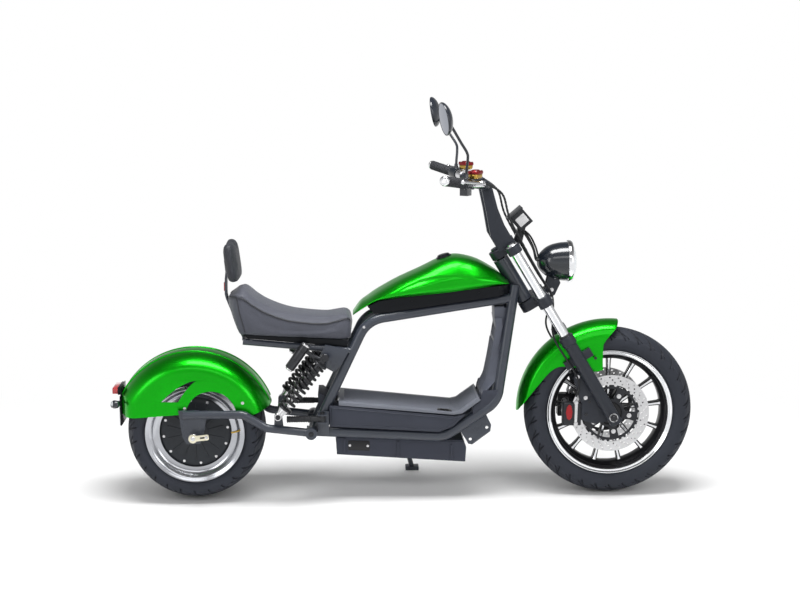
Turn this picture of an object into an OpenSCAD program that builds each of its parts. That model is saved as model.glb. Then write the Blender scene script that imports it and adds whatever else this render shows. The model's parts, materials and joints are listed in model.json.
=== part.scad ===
// Electric chopper scooter with a dummy tank, a step-through loop frame and a hub motor.
// Drawn upright with the nose along +X and the left side along +Y, then leaned onto its side stand.

/* [Main sizes] */
// distance between the two axles, mm
wheelbase = 1436; // [1300:1:1600]
// front tyre diameter, mm
front_tyre_d = 588; // [540:1:620]
// front tyre width, mm
front_tyre_w = 130; // [110:1:136]
// rear tyre diameter, mm
rear_tyre_d = 477; // [450:1:490]
// rear tyre width, mm
rear_tyre_w = 215; // [180:1:218]
// lean of the parked vehicle to its left side, degrees
lean = 5; // [3:0.1:8]

/* [Steering] */
// rake of the steering axis, degrees
rake = 31; // [26:0.5:36]
// distance of the fork legs ahead of the steering axis, mm
fork_offset = 52; // [45:1:60]
// sideways distance of a fork leg from the middle, mm
leg_y = 100; // [98:1:108]
// fork tube radius, mm
fork_tube_r = 16.5; // [15:0.5:18]
// length of a slider above the axle, mm
slider_len = 324; // [300:1:340]
// underside of the lower yoke above the axle along the fork, mm
yoke_z = 449; // [430:1:460]
// underside of the top clamp above the axle along the fork, mm
clamp_z = 660; // [650:1:680]

/* [Frame] */
// radius of the lower frame tubes, mm
tube_r = 17.5; // [15:0.5:19]
// radius of the upper frame tubes, mm
top_tube_r = 16.5; // [14:0.5:18]
// radius of the head tube, mm
head_r = 27; // [24:0.5:30]
// sideways distance of the floor tubes, mm
floor_y = 90; // [80:1:95]

/* [Running gear] */
// axle radius, mm
axle_r = 8; // [6:0.5:10]
// radial running gap of a wheel on its axle, mm
run_gap = 0.05; // [0.02:0.01:0.1]
// number of front wheel spokes
spoke_count = 13; // [9:1:16]
// front brake disc radius, mm
front_disc_r = 135; // [110:1:140]
// rear brake disc radius, mm
rear_disc_r = 105; // [90:1:110]
// hub motor radius, mm
motor_r = 121; // [100:1:124]
// gap between the rear tyre and the crown of its fender, mm
fender_gap = 42.5; // [36:0.5:60]
// gap between the side of the rear tyre and its fender, mm
fender_side_gap = 5.5; // [5:0.5:8]
// gap between the front tyre and the crown of its fender, mm
guard_gap = 28; // [22:0.5:40]
// gap between the side of the front tyre and its fender, mm
guard_side_gap = 5.9; // [5:0.1:8]
// wall of both fenders, mm
fender_wall = 3; // [2:0.5:3]

/* [Deck and mounts] */
// half width of the deck, mm
deck_hw = 111; // [109:1:114]
// radius of the accessory holes in the front frame plates, mm
plate_hole_r = 5.5; // [4:0.5:7]

/* [Hidden] */
$fn = 48;
// how far each end moves out from the drawn stations when the wheelbase changes, mm
spread = (wheelbase - 1436) / 2;
front_x = wheelbase / 2 - spread;
rear_x = -front_x;
front_z = front_tyre_d / 2;
rear_z = rear_tyre_d / 2;
pivot = [-318, 250];
park_lift = 0.72;
seat_low = [-305, floor_y, 252];
seat_bend = [-126, 80, 629];
tub_hw = 69;
fender_r = rear_tyre_d / 2 + fender_gap;
fender_x = rear_x - 6;
fender_hw = rear_tyre_w / 2 + fender_side_gap + fender_wall;
guard_r = front_tyre_d / 2 + guard_gap;
guard_hw = front_tyre_w / 2 + guard_side_gap + fender_wall;
shock_top = [-269, 139, 513];
shock_low = [-430, 139, 309];
lamp = [532, 818];
bar_at = [29.5, 905];
bar_x = front_x - bar_at[1] * sin(rake) + bar_at[0] * cos(rake);
bar_z = front_z + bar_at[1] * cos(rake) + bar_at[0] * sin(rake);
bar_bend = [bar_x, 100, bar_z];
bar_tip = [bar_x - 160, 346, bar_z + 41];

function unit(v) = v / norm(v);
function turn(a, b, c) = acos(unit(b - a) * unit(c - b));
function setback(a, b, c, br) = br * tan(turn(a, b, c) / 2);
function side(p, s) = [p[0], p[1] * s, p[2]];
function mid(a, b, t) = a + (b - a) * t;
function arc(cx, cy, r, a0, a1, n) =
  [for (i = [0:n]) [cx + r * cos(a0 + (a1 - a0) * i / n), cy + r * sin(a0 + (a1 - a0) * i / n)]];

// outline of half a fender from its crown to its wall, as radius and sideways distance
function dome(r0, r1, hw, n) =
  [for (i = [0:n]) let (t = 90 * i / n) [r0 + (r1 - r0) * pow(cos(t), 0.9), hw * pow(sin(t), 0.9)]];
function shell(r0, r1, hw, w) =
  let (n = 9, a = dome(r0, r1, hw, n), b = dome(r0, r1 - w, hw - w, n))
  concat([for (i = [n:-1:1]) [a[i][0], -a[i][1]]], a, [for (i = [n:-1:0]) b[i]],
    [for (i = [1:n]) [b[i][0], -b[i][1]]]);
// stations moved with the end of the vehicle that they belong to
function st(x) = x < 0 ? x - spread : x + spread;
function stretch(p) = [for (q = p) concat([st(q[0])], [for (i = [1:len(q) - 1]) q[i]])];

module parked() {
  translate([0, 0, park_lift]) rotate([-lean, 0, 0]) children();
}

module front_end() {
  parked() translate([spread, 0, 0]) children();
}

module rear_end() {
  parked() translate([-spread, 0, 0]) children();
}

module steered() {
  translate([front_x, 0, front_z]) rotate([0, -rake, 0]) children();
}

module both() {
  children();
  mirror([0, 1, 0]) children();
}

module rod(a, b, r) {
  d = unit(b - a);
  translate(a) rotate([0, acos(d[2]), atan2(d[1], d[0])]) cylinder(h = norm(b - a), r = r);
}

module elbow(a, b, c, r, br) {
  u = unit(b - a);
  v = unit(c - b);
  t = turn(a, b, c);
  w = (v - (u * v) * u) / sin(t);
  o = b - u * br * tan(t / 2) + w * br;
  n = cross(u, w);
  multmatrix([[-w[0], u[0], n[0], o[0]], [-w[1], u[1], n[1], o[1]], [-w[2], u[2], n[2], o[2]],
    [0, 0, 0, 1]]) rotate_extrude(angle = t) translate([br, 0]) circle(r = r + 0.25);
}

module bent_tube(p, r, br) {
  n = len(p);
  for (i = [0:n - 2]) {
    s = i == 0 ? 0 : setback(p[i - 1], p[i], p[i + 1], br) - 2;
    e = i == n - 2 ? 0 : setback(p[i], p[i + 1], p[i + 2], br) - 2;
    d = unit(p[i + 1] - p[i]);
    rod(p[i] + s * d, p[i + 1] - e * d, r);
  }
  if (n > 2) for (i = [1:n - 2]) elbow(p[i - 1], p[i], p[i + 1], r, br);
}

// plate drawn in the X Z plane and given thickness along Y from y0 to y1
module plate(p, y0, y1) {
  translate([0, y1, 0]) rotate([90, 0, 0]) linear_extrude(y1 - y0) polygon(p);
}

// pin along Y at x, z
module cross_pin(x, z, y0, y1, r) {
  translate([x, y1, z]) rotate([90, 0, 0]) cylinder(h = y1 - y0, r = r);
}

// ring turned about the Y axis at x, z from a radius and width outline
module turned(x, z) {
  translate([x, 0, z]) rotate([90, 0, 0]) rotate_extrude($fn = 96) children();
}

// skin through a list of equal outlines, closed at both ends
module loft(rings) {
  n = len(rings);
  m = len(rings[0]);
  pts = [for (r = rings) for (p = r) p];
  sides = [for (i = [0:n - 2]) for (j = [0:m - 1]) let (a = i * m + j, b = i * m + (j + 1) % m)
    each [[a, b, b + m], [a, b + m, a + m]]];
  ends = [[for (j = [m - 1:-1:0]) j], [for (j = [0:m - 1]) (n - 1) * m + j]];
  polyhedron(points = pts, faces = concat(sides, ends));
}

// frame
module frame_side(s) {
  bent_tube(stretch([[383, s * 38, 742], [320, s * 88, 344], [140, s * floor_y, 223],
    [-335, s * floor_y, 247]]), tube_r, 90);
  bent_tube(stretch([side(seat_low, s), side(seat_bend, s), [376, s * 43, 700]]), top_tube_r, 100);
}

module main_frame() {
  color([0.2, 0.2, 0.22]) parked() difference() {
    union() {
      frame_side(1);
      frame_side(-1);
      translate([spread, 0, 0]) steered() translate([-fork_offset, 0, yoke_z + 40])
        cylinder(h = clamp_z - yoke_z - 45, r = head_r);
      cross_pin(st(120), 224, -floor_y, floor_y, 12);
      cross_pin(st(-200), 240, -floor_y, floor_y, 12);
      cross_pin(st(-78), 634, -77, 77, 11);
      cross_pin(st(200), 675, -56, 56, 11);
      cross_pin(st(pivot[0]), pivot[1], -153, 153, 10);
    }
    translate([spread, 0, 0]) steered() translate([-fork_offset, 0, yoke_z + 30])
      cylinder(h = 220, r = 15.06);
  }
}

module rail(s) {
  difference() {
    union() {
      rod([-172, s * 88, 524.5], [-548, s * 88, 560], 11);
      plate([[-269, 550], [-186, 532], [-214, 480], [-240, 455], [-296, 487]],
        s > 0 ? 98 : -106, s > 0 ? 106 : -98);
      cross_pin(-269, 513, s > 0 ? 99 : -147, s > 0 ? 147 : -99, 6);
    }
    rod(side(seat_low, s), side(seat_bend, s), top_tube_r + 0.1);
  }
}

module seat_rails() {
  color([0.2, 0.2, 0.22]) rear_end() {
    rail(1);
    rail(-1);
    translate([-548, -82, 552]) cube([22, 164, 10]);
  }
}

module frame_brackets() {
  color([0.2, 0.2, 0.22]) {
    front_end() both() difference() {
      plate([[190, 250], [200, 264], [276, 315], [301, 262], [298, 240], [236, 193], [222, 196]], 86, 92);
      cross_pin(229, 212, 80, 100, plate_hole_r);
      cross_pin(286, 253, 80, 100, plate_hole_r);
      rod([140, floor_y, 223], [320, 88, 344], tube_r + 0.2);
    }
    rear_end() both() {
      translate([-296, floor_y + tube_r + 0.3, 238]) cube([38, 9, 82]);
      translate([-295, floor_y + tube_r + 9.3, 284]) cube([30, 28, 5]);
      translate([-295, floor_y + tube_r + 9.3, 311]) cube([30, 28, 5]);
      translate([-280, 134, 282]) cylinder(h = 36, r = 5);
    }
    parked() difference() {
      stand_place() {
        translate([-22, -19.8, -14]) cube([44, 10.2, 38]);
        translate([0, 9.4, 0]) rotate([90, 0, 0]) cylinder(h = 24, r = 5.5);
      }
      rod([st(140), floor_y, 223], [st(-335), floor_y, 247], tube_r + 0.2);
    }
  }
}

// floor
module battery_box() {
  color([0.22, 0.22, 0.24]) parked() {
    plate(stretch([[-236, 221.6], [-200, 225.2], [100, 209.6], [205, 205], [216, 180], [213, 129], [-232, 159]]),
      -80, 80);
    both() for (x = [-205, -20, 165])
      translate([st(x) - 4, 78, 146 - x * 0.067]) cube([8, 7, 56]);
  }
}

module floor_tub() {
  color([0.2, 0.2, 0.22]) parked() difference() {
    plate(stretch([[-292, 270], [-240, 256], [130, 240], [236, 308], [236, 333], [199, 307.8], [170, 303.4],
      [-226, 339.4], [-238, 343], [-280, 372], [-296, 372]]), -tub_hw, tub_hw);
    plate(stretch([[-232, 260.5], [128, 245], [190, 284], [172, 290], [160, 340], [-232, 380]]),
      4 - tub_hw, tub_hw - 4);
  }
}

module battery_pack() {
  color([0.3, 0.3, 0.34]) parked()
    plate(stretch([[-228, 261], [120, 246], [120, 296], [-228, 330]]), 6 - tub_hw, tub_hw - 6);
}

module side_panels() {
  color([0.2, 0.2, 0.22]) parked() both() {
    plate(stretch([[-256, 339.2], [-226, 337.5], [175, 297.5], [212, 306], [168, 262], [120, 243],
      [-256, 265.5]]), floor_y + tube_r + 0.3, floor_y + tube_r + 3.3);
    for (x = [-170, 90])
      translate([st(x), tub_hw + 0.3, 278]) cube([20, floor_y + tube_r + 1 - tub_hw, 10]);
  }
}

module riser_panel() {
  color([0.2, 0.2, 0.22]) front_end() difference() {
    plate([[236.4, 318], [236.4, 333.5], [262, 352], [268, 357], [266, 378], [284, 416], [300, 495],
      [317, 603], [312, 632], [337, 632], [341, 603], [325, 495], [308, 392], [292, 352]], -60, 60);
    for (y = [-45, -15, 15, 45]) translate([280, y - 9, 560]) cube([80, 18, 34]);
  }
}

module deck_lid() {
  color([0.25, 0.25, 0.28]) parked() {
    plate(stretch([[-224, 340], [170, 304], [200, 309], [262, 354], [255, 363], [192, 317], [170, 312],
      [-224, 352]]), -deck_hw, deck_hw);
    cross_pin(st(-224), 346, -60, 60, 5.5);
  }
}

// body
// stations of the tank cover: x, underside, top, half width
tank = [
  [-174, 640, 647, 46], [-150, 659, 680, 66], [-124, 677, 699, 80], [-87, 696, 724, 92],
  [-20, 708, 762, 106], [59, 717, 799, 114], [122, 724, 830, 117], [170, 730, 844, 117],
  [210, 735, 841, 114], [257, 740, 827, 108], [309, 746, 798, 94], [337, 748, 776, 82], [358, 749, 759, 70]];

function tank_ring(s) = let (x = st(s[0]), lo = s[1], h = s[2] - s[1], w = s[3]) [for (q = [
  [-0.86, 0], [-0.98, 0.16], [-1, 0.36], [-0.9, 0.56], [-0.72, 0.8], [-0.5, 0.94], [-0.25, 0.99],
  [0, 1], [0.25, 0.99], [0.5, 0.94], [0.72, 0.8], [0.9, 0.56], [1, 0.36], [0.98, 0.16], [0.86, 0]])
  [x, q[0] * w, lo + q[1] * h]];

module tank_cover() {
  color([0.05, 0.65, 0.08]) parked() difference() {
    loft([for (s = tank) tank_ring(s)]);
    translate([spread, 0, 0]) {
      steered() translate([-fork_offset, 0, 500]) cylinder(h = 260, r = 34);
      both() rod([376, 43, 700], [393, 30, 805], 24);
    }
  }
}

module tank_skirt() {
  color([0.12, 0.12, 0.13]) parked()
    plate(stretch([[-124, 676.5], [-87, 695.5], [-20, 707.5], [122, 723.5], [257, 739.5], [325, 746.5],
      [325, 710], [-60, 655.4], [-100, 651]]), -84, 84);
}

// stations of the saddle: x, half width, underside, side edge, top
seat_line = [
  [-602, 40, 700, 706, 712], [-590, 70, 668, 712, 716], [-574, 96, 624, 716, 722], [-558, 108, 588, 714, 737],
  [-540, 113, 586, 710, 736], [-504, 117, 584, 685, 703], [-456, 119, 581, 660, 675],
  [-386, 118, 577, 637, 653], [-281, 112, 571, 626, 642], [-236, 106, 568, 632, 645],
  [-200, 98, 566, 640, 650], [-184, 88, 568, 636, 644], [-178, 78, 576, 622, 630]];

function seat_ring(s) = let (x = s[0], w = s[1], lo = s[2], e = s[3], t = s[4]) [for (q = [
  [-0.9, 0, 0], [-0.98, 0.3, 0], [-1, 0.6, 0], [-0.96, 1, 0], [-0.84, 1, 0.45], [-0.62, 1, 0.78],
  [-0.32, 1, 0.95], [0, 1, 1], [0.32, 1, 0.95], [0.62, 1, 0.78], [0.84, 1, 0.45], [0.96, 1, 0],
  [1, 0.6, 0], [0.98, 0.3, 0], [0.9, 0, 0]]) [x, q[0] * w, lo + (e - lo) * q[1] + (t - e) * q[2]]];

module saddle() {
  color([0.17, 0.17, 0.19]) rear_end() loft([for (s = seat_line) seat_ring(s)]);
}

module seat_pan() {
  color([0.12, 0.12, 0.13]) rear_end()
    plate([[-556, 586.6], [-188, 564.6], [-194, 538.2], [-530, 569.9]], -92, 92);
}

module backrest_bar() {
  color([0.15, 0.15, 0.16]) rear_end() plate([[-548.2, 550], [-548.2, 563], [-557.5, 580], [-558.6, 587.8],
    [-574.6, 623.8], [-590.6, 667.8], [-602.8, 700], [-605, 714], [-604, 765], [-600.3, 790], [-605.5, 830],
    [-613.5, 830], [-609, 790], [-612, 765], [-613, 712], [-609.5, 697.4], [-597, 665.4], [-581, 621.4],
    [-566, 583], [-556, 562], [-556, 550]], -20, 20);
}

module backrest_pad() {
  color([0.17, 0.17, 0.19]) rear_end() loft([for (k = [[761, 0.8, 0.6], [768, 0.94, 0.9], [790, 1, 1],
    [860, 0.98, 1], [884, 0.92, 0.9], [893, 0.78, 0.6]])
    let (z = k[0], w = 105 * k[1], t = 20 * k[2], x = -576 - (z - 761) * 0.13)
    [for (q = [[-0.86, -1], [0.86, -1], [1, -0.4], [0.95, 0.5], [0.7, 0.9], [0, 1], [-0.7, 0.9],
    [-0.95, 0.5], [-1, -0.4]]) [x + q[1] * t, q[0] * w, z]]]);
}

// rear end
module swing_side() {
  difference() {
    union() {
      bent_tube([[pivot[0], 134, pivot[1]], [-471, 134, 268], [-548, 134, 316], [-752, 134, 316]], 14, 45);
      cross_pin(pivot[0], pivot[1], 112, 152, 20);
      for (x = [-757, -552]) cross_pin(x, 320, fender_hw - 0.1, 126, 6);
      plate([[-768, 330], [-700, 330], [-672, 318], [-680, 262], [-696, 214], [-742, 214], [-756, 240]],
        124, 134);
      plate([[-446, 262], [-412, 262], [-417, 318], [-424, 322], [-436, 322], [-441, 318]], 120, 126);
      cross_pin(-430, 309, 122, 152, 6);
    }
    cross_pin(pivot[0], pivot[1], 100, 160, 10.08);
    cross_pin(rear_x, rear_z, 100, 160, axle_r + 0.1);
  }
}

module swing_arm() {
  color([0.2, 0.2, 0.22]) rear_end() both() swing_side();
}

function shock_at(t) = mid(shock_top, shock_low, t / norm(shock_low - shock_top));

module shock_side() {
  difference() {
    union() {
      cross_pin(shock_top[0], shock_top[2], 128, 150, 13);
      cross_pin(shock_low[0], shock_low[2], 128, 150, 13);
      rod(shock_at(4), shock_at(130), 13);
      rod(shock_at(128), shock_at(224), 6);
      rod(shock_at(221), shock_at(252), 10.5);
      rod(shock_at(26), shock_at(33), 27);
      rod(shock_at(218), shock_at(225), 27);
      rod([-326, 139, 572], [-394, 139, 472], 15);
      rod(shock_at(12), [-344, 139, 545.5], 8);
    }
    cross_pin(shock_top[0], shock_top[2], 100, 160, 6.1);
    cross_pin(shock_low[0], shock_low[2], 100, 160, 6.1);
  }
}

module shock_bodies() {
  color([0.3, 0.3, 0.33]) rear_end() both() shock_side();
}

module spring(r, wire, turns, len, seg) {
  n = turns * seg;
  loft([for (i = [0:n]) let (a = 360 * i / seg, z = wire + (len - 2 * wire) * i / n)
    [for (k = [0:7]) let (b = 45 * k, w = r + wire * cos(b)) [w * cos(a), w * sin(a), z - wire * sin(b)]]]);
}

module shock_springs() {
  color([0.1, 0.1, 0.11]) rear_end() both() {
    d = unit(shock_low - shock_top);
    translate(shock_at(33.3)) rotate([0, acos(d[2]), atan2(d[1], d[0])])
      spring(21, 4.6, 7, 184.2, 20);
  }
}

module rear_axle() {
  color([0.7, 0.7, 0.72]) rear_end() {
    cross_pin(rear_x, rear_z, -152, 152, axle_r);
    both() difference() {
      cross_pin(rear_x, rear_z, 134.2, 147, 15);
      cross_pin(rear_x, rear_z, 120, 150, axle_r + 0.1);
    }
    both() difference() {
      cross_pin(rear_x, rear_z, 76, 123.8, 13);
      cross_pin(rear_x, rear_z, 60, 130, axle_r + 0.1);
    }
  }
}

module rear_fender() {
  color([0.05, 0.65, 0.08]) rear_end() {
    translate([fender_x, 0, rear_z]) rotate([90, 0, 0]) rotate([0, 0, 19])
      rotate_extrude(angle = 132, $fn = 96) polygon(shell(fender_r - 70, fender_r, fender_hw, fender_wall));
    both() difference() {
      plate(concat(arc(fender_x, rear_z, fender_r - 64, 19, 151, 30),
        [[-965.3, rear_z + 99], [-965.3, rear_z + 60], [-900, rear_z + 64], [-760, rear_z + 74]],
        arc(-659, rear_z + 68, 86, 180, 0, 16), [[-530, rear_z + 70]]),
        fender_hw + 0.3 - fender_wall, fender_hw - 0.3);
      plate([[-827, 357], [-778, 399], [-727, 428], [-707, 430], [-734, 406], [-770, 356]], 100, 130);
    }
    translate([-970.5, 0, 0]) rotate([90, 0, 90]) linear_extrude(5.5) polygon([[-fender_hw, 298],
      [fender_hw, 298], [fender_hw, 334], [108, 350], [95, 362], [75, 370], [45, 375], [0, 377],
      [-45, 375], [-75, 370], [-95, 362], [-108, 350], [-fender_hw, 334]]);
  }
}

module plate_holder() {
  color([0.13, 0.13, 0.14]) rear_end() {
    translate([-976, -60, 262]) cube([5, 120, 103]);
    translate([-974, -50, 364]) cube([3, 100, 32]);
    both() translate([-972, 40, 330]) cube([1.3, 12, 30]);
  }
}

module tail_lamps() {
  color([0.7, 0.05, 0.05]) rear_end() {
    translate([-1002, -48, 369]) cube([27.8, 96, 24]);
    both() rod([-977, 60.3, 345], [-977, 88, 345], 4.5);
    both() rod([-1002, 92, 345], [-971.2, 92, 345], 14);
  }
}

module rear_caliper() {
  color([0.12, 0.12, 0.13]) rear_end() difference() {
    translate([rear_x + 62, 82, rear_z + 24]) cube([56, 37.8, 55.5]);
    turned(rear_x, rear_z) translate([0, -105.5]) square([rear_disc_r + 7, 15]);
  }
}

// front end
module lower_yoke() {
  color([0.15, 0.15, 0.16]) front_end() steered() difference() {
    union() {
      both() translate([0, leg_y, yoke_z]) cylinder(h = 36, r = 26);
      translate([-24, -leg_y, yoke_z]) cube([48, 2 * leg_y, 36]);
      translate([-fork_offset, -28, yoke_z]) cube([40, 56, 36]);
      translate([-fork_offset, 0, yoke_z]) cylinder(h = 36, r = 28);
      translate([-fork_offset, 0, yoke_z]) cylinder(h = clamp_z - yoke_z + 38, r = 15);
    }
    both() translate([0, leg_y, yoke_z - 5]) cylinder(h = 50, r = fork_tube_r + 0.1);
  }
}

module top_clamp() {
  color([0.15, 0.15, 0.16]) front_end() steered() difference() {
    union() {
      both() translate([0, leg_y, clamp_z]) cylinder(h = 30, r = 25);
      translate([-22, -leg_y, clamp_z]) cube([44, 2 * leg_y, 30]);
      translate([-fork_offset, -27, clamp_z]) cube([40, 54, 30]);
      translate([-fork_offset, 0, clamp_z]) cylinder(h = 30, r = 27);
    }
    both() translate([0, leg_y, clamp_z - 5]) cylinder(h = 50, r = fork_tube_r + 0.1);
    translate([-fork_offset, 0, clamp_z - 5]) cylinder(h = 50, r = 15.1);
  }
}

module fork_tubes() {
  color([0.8, 0.8, 0.82]) front_end() steered() both()
    translate([0, leg_y, slider_len + 0.2]) cylinder(h = clamp_z + 32 - slider_len, r = fork_tube_r);
}

module fork_sliders() {
  color([0.13, 0.13, 0.14]) front_end() both() difference() {
    union() {
      steered() translate([0, leg_y, -30]) cylinder(h = slider_len + 30, r = 22.5);
      steered() translate([0, leg_y, slider_len - 28]) cylinder(h = 28, r = 25.5);
      steered() translate([-52, guard_hw - 0.1, 214]) cube([104, 88.2 - guard_hw, 30]);
      plate([[613.3, 276], [613.3, 334], [650, 362], [694, 352], [704, 270], [660, 262]], 79, 88);
    }
    cross_pin(front_x, front_z, 60, 140, axle_r + 0.1);
  }
}

module front_axle() {
  color([0.7, 0.7, 0.72]) front_end() {
    cross_pin(front_x, front_z, -138, 138, axle_r);
    both() difference() {
      cross_pin(front_x, front_z, 122.8, 134, 15);
      cross_pin(front_x, front_z, 120, 150, axle_r + 0.1);
    }
    both() difference() {
      cross_pin(front_x, front_z, 70.5, 77.2, 13);
      cross_pin(front_x, front_z, 60, 90, axle_r + 0.1);
    }
  }
}

module front_fender() {
  color([0.05, 0.65, 0.08]) front_end() {
    difference() {
      translate([front_x, 0, front_z]) rotate([90, 0, 0]) rotate([0, 0, 84])
        rotate_extrude(angle = 98, $fn = 96) polygon(shell(guard_r - 62, guard_r, guard_hw, fender_wall));
      plate([[757, 612], [736, 596], [700, 562], [687, 542], [687, 440], [800, 440], [800, 612]], -90, 90);
      plate([[471, 402], [444, 364], [416, 326], [393, 290], [380, 200], [560, 200], [560, 402]], -90, 90);
    }
    both() plate(concat([[686, 452], [688, 540]], arc(front_x, front_z, guard_r - 56, 97, 150, 12),
      [[480, 412], [503, 440], [522, 455], [540, 464], [600, 452]]),
      guard_hw + 0.3 - fender_wall, guard_hw - 0.3);
  }
}

module front_calipers() {
  color([0.12, 0.12, 0.13]) front_end() both() difference() {
    translate([front_x - 168, 46, front_z - 38]) cube([63, 44, 80]);
    turned(front_x, front_z) translate([0, -72.3]) square([front_disc_r + 7, 15]);
  }
}

module lamp_bucket() {
  color([0.1, 0.1, 0.11]) front_end() {
    translate([lamp[0], 0, lamp[1]]) rotate([0, 90, 0]) rotate_extrude($fn = 72)
      polygon([[0, -70], [14, -68], [32, -58], [48, -42], [59, -20], [65, 5], [67, 32], [0, 32]]);
    steered() plate([[24.3, 452], [24.3, 484], [62, 520], [95, 505], [82, 478], [44, 452]], -24, 24);
  }
}

module lamp_lens() {
  color([0.75, 0.78, 0.8]) front_end() translate([lamp[0], 0, lamp[1]]) rotate([0, 90, 0])
    rotate_extrude($fn = 72)
      polygon([[0, 32.2], [72, 32.2], [73, 40], [70, 48], [64, 50], [50, 58], [28, 65], [0, 68]]);
}

module instrument() {
  color([0.12, 0.12, 0.13]) front_end() steered() {
    translate([76, 0, 738]) rotate([0, -10, 0]) translate([-27, -46, -27]) cube([54, 92, 54]);
    plate([[22.3, 668], [22.3, 688], [62, 726], [80, 726], [80, 710], [40, 668]], -16, 16);
  }
}

module bar_risers() {
  color([0.12, 0.12, 0.13]) front_end() steered() both() difference() {
    plate([[-44, 690.3], [20, 690.3], [16, 712], [16, 760], [25, 820], [44, 888], [48, 905], [40, 920],
      [24, 922], [12, 908], [-14, 830], [-44, 750]], 52, 76);
    cross_pin(bar_at[0], bar_at[1], 40, 90, 11.1);
  }
}

function bar_pt(t) = mid(bar_tip, bar_bend, t / norm(bar_tip - bar_bend));

module handlebar() {
  color([0.12, 0.12, 0.13]) front_end()
    bent_tube([side(bar_tip, -1), side(bar_bend, -1), bar_bend, bar_tip], 11, 55);
}

module sleeve(t0, t1, r) {
  difference() {
    rod(bar_pt(t0), bar_pt(t1), r);
    rod(bar_pt(t0 - 5), bar_pt(t1 + 5), 11.1);
  }
}

module grips() {
  color([0.1, 0.1, 0.1]) front_end() both() sleeve(2, 128, 16.5);
}

module switch_pods() {
  color([0.12, 0.12, 0.13]) front_end() both() difference() {
    union() {
      rod(bar_pt(129), bar_pt(162), 20);
      translate(bar_pt(146)) rotate([0, 0, 33]) translate([-14, -15, -38]) cube([28, 30, 34]);
    }
    rod(bar_pt(110), bar_pt(180), 11.1);
  }
}

module brake_levers() {
  color([0.7, 0.7, 0.72]) front_end() both() difference() {
    union() {
      rod(bar_pt(164), bar_pt(190), 17);
      rod(bar_pt(182), bar_pt(178) + [42, 20, 4], 11);
      rod(bar_pt(178) + [42, 20, 4], bar_pt(96) + [50, 30, 2], 6.5);
      rod(bar_pt(96) + [50, 30, 2], bar_pt(30) + [44, 26, 0], 5.5);
      translate(bar_pt(30) + [44, 26, 0]) sphere(r = 8);
    }
    rod(bar_pt(150), bar_pt(200), 11.1);
  }
}

module reservoirs() {
  color([0.75, 0.6, 0.1]) front_end() both() {
    translate(bar_pt(183) + [14, 6, 20]) cylinder(h = 36, r = 20);
    translate(bar_pt(183) + [14, 6, 56]) cylinder(h = 7, r = 21);
  }
}

module mirror_one(base, knee, top, head, s) {
  rod(base, knee, 5);
  translate(knee) sphere(r = 5.8);
  rod(knee, top, 5);
  translate(head) rotate([0, -100, s * -12]) rotate_extrude($fn = 64)
    polygon([[0, -16], [20, -14], [38, -9], [50, 0], [54, 8], [53, 11], [0, 11]]);
}

module mirrors() {
  color([0.1, 0.1, 0.11]) front_end() {
    mirror_one([197, -228, 1127.4], [203, -243, 1198], [134, -299, 1312], [128, -300, 1321], -1);
    mirror_one([197, 228, 1127.4], [203, 243, 1198], [134, 299, 1312], [128, 300, 1321], 1);
  }
}

function loc(x, y, z) =
  [front_x - z * sin(rake) + x * cos(rake), y, front_z + z * cos(rake) + x * sin(rake)];

// point on a smooth curve through the list p, u from 0 to len - 1
function curve(p, u) =
  let (n = len(p), i = min(n - 2, floor(u)), t = u - i, a = p[max(0, i - 1)], b = p[i], c = p[i + 1],
    d = p[min(n - 1, i + 2)])
  0.5 * (2 * b + (c - a) * t + (2 * a - 5 * b + 4 * c - d) * t * t + (3 * b - a - 3 * c + d) * t * t * t);

module hose(p, r) {
  k = 8 * (len(p) - 1);
  q = [for (i = [0:k]) curve(p, i / 8)];
  loft([for (i = [0:k])
    let (d = unit(q[min(k, i + 1)] - q[max(0, i - 1)]), u = unit(cross(d, [0.2, 1, 0.1])), v = cross(d, u))
    [for (j = [7:-1:0]) q[i] + r * (cos(45 * j) * u + sin(45 * j) * v)]]);
}

module brake_hoses() {
  color([0.08, 0.08, 0.08]) front_end() both()
    hose([bar_pt(190) + [34, 8, 8], bar_pt(222) + [52, -10, -4], loc(62, 92, 850), loc(42, 86, 770),
      loc(36, 66, 650), loc(34, 62, 540), loc(34, 62, 465), loc(4, 66, 405), loc(-36, 92, 335),
      loc(-37, 94, 170), [588, 84, front_z + 46]], 3.5);
}

// wheels
function tyre_half(R, w, rim, bead, hw, c, yt) =
  let (rt = R - c + sqrt(c * c - yt * yt), rw = rim + 0.5 * (rt - rim), k = [rt - 3, w / 2])
  concat([[bead, hw], [rim + 1.5, hw]],
  [for (i = [1:5]) let (a = 18 * i) [rw - (rw - rim - 1.5) * cos(a), hw + (w / 2 - hw) * sin(a)]],
  [for (t = [0.25, 0.5, 0.75]) (1 - t) * (1 - t) * [rw, w / 2] + 2 * t * (1 - t) * k + t * t * [rt, yt]],
  [for (i = [0:5]) let (y = yt * (1 - i / 6)) [R - c + sqrt(c * c - y * y), y]]);

function tyre_outline(R, w, rim, bead, hw, c, yt) =
  let (h = tyre_half(R, w, rim, bead, hw, c, yt), n = len(h))
  concat(h, [[R, 0]], [for (i = [n - 1:-1:0]) [h[i][0], -h[i][1]]]);

module front_tyre() {
  color([0.1, 0.1, 0.1]) front_end() turned(front_x, front_z)
    polygon(tyre_outline(front_z, front_tyre_w, 219, 203, 45, 74, front_tyre_w * 0.4));
}

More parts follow.
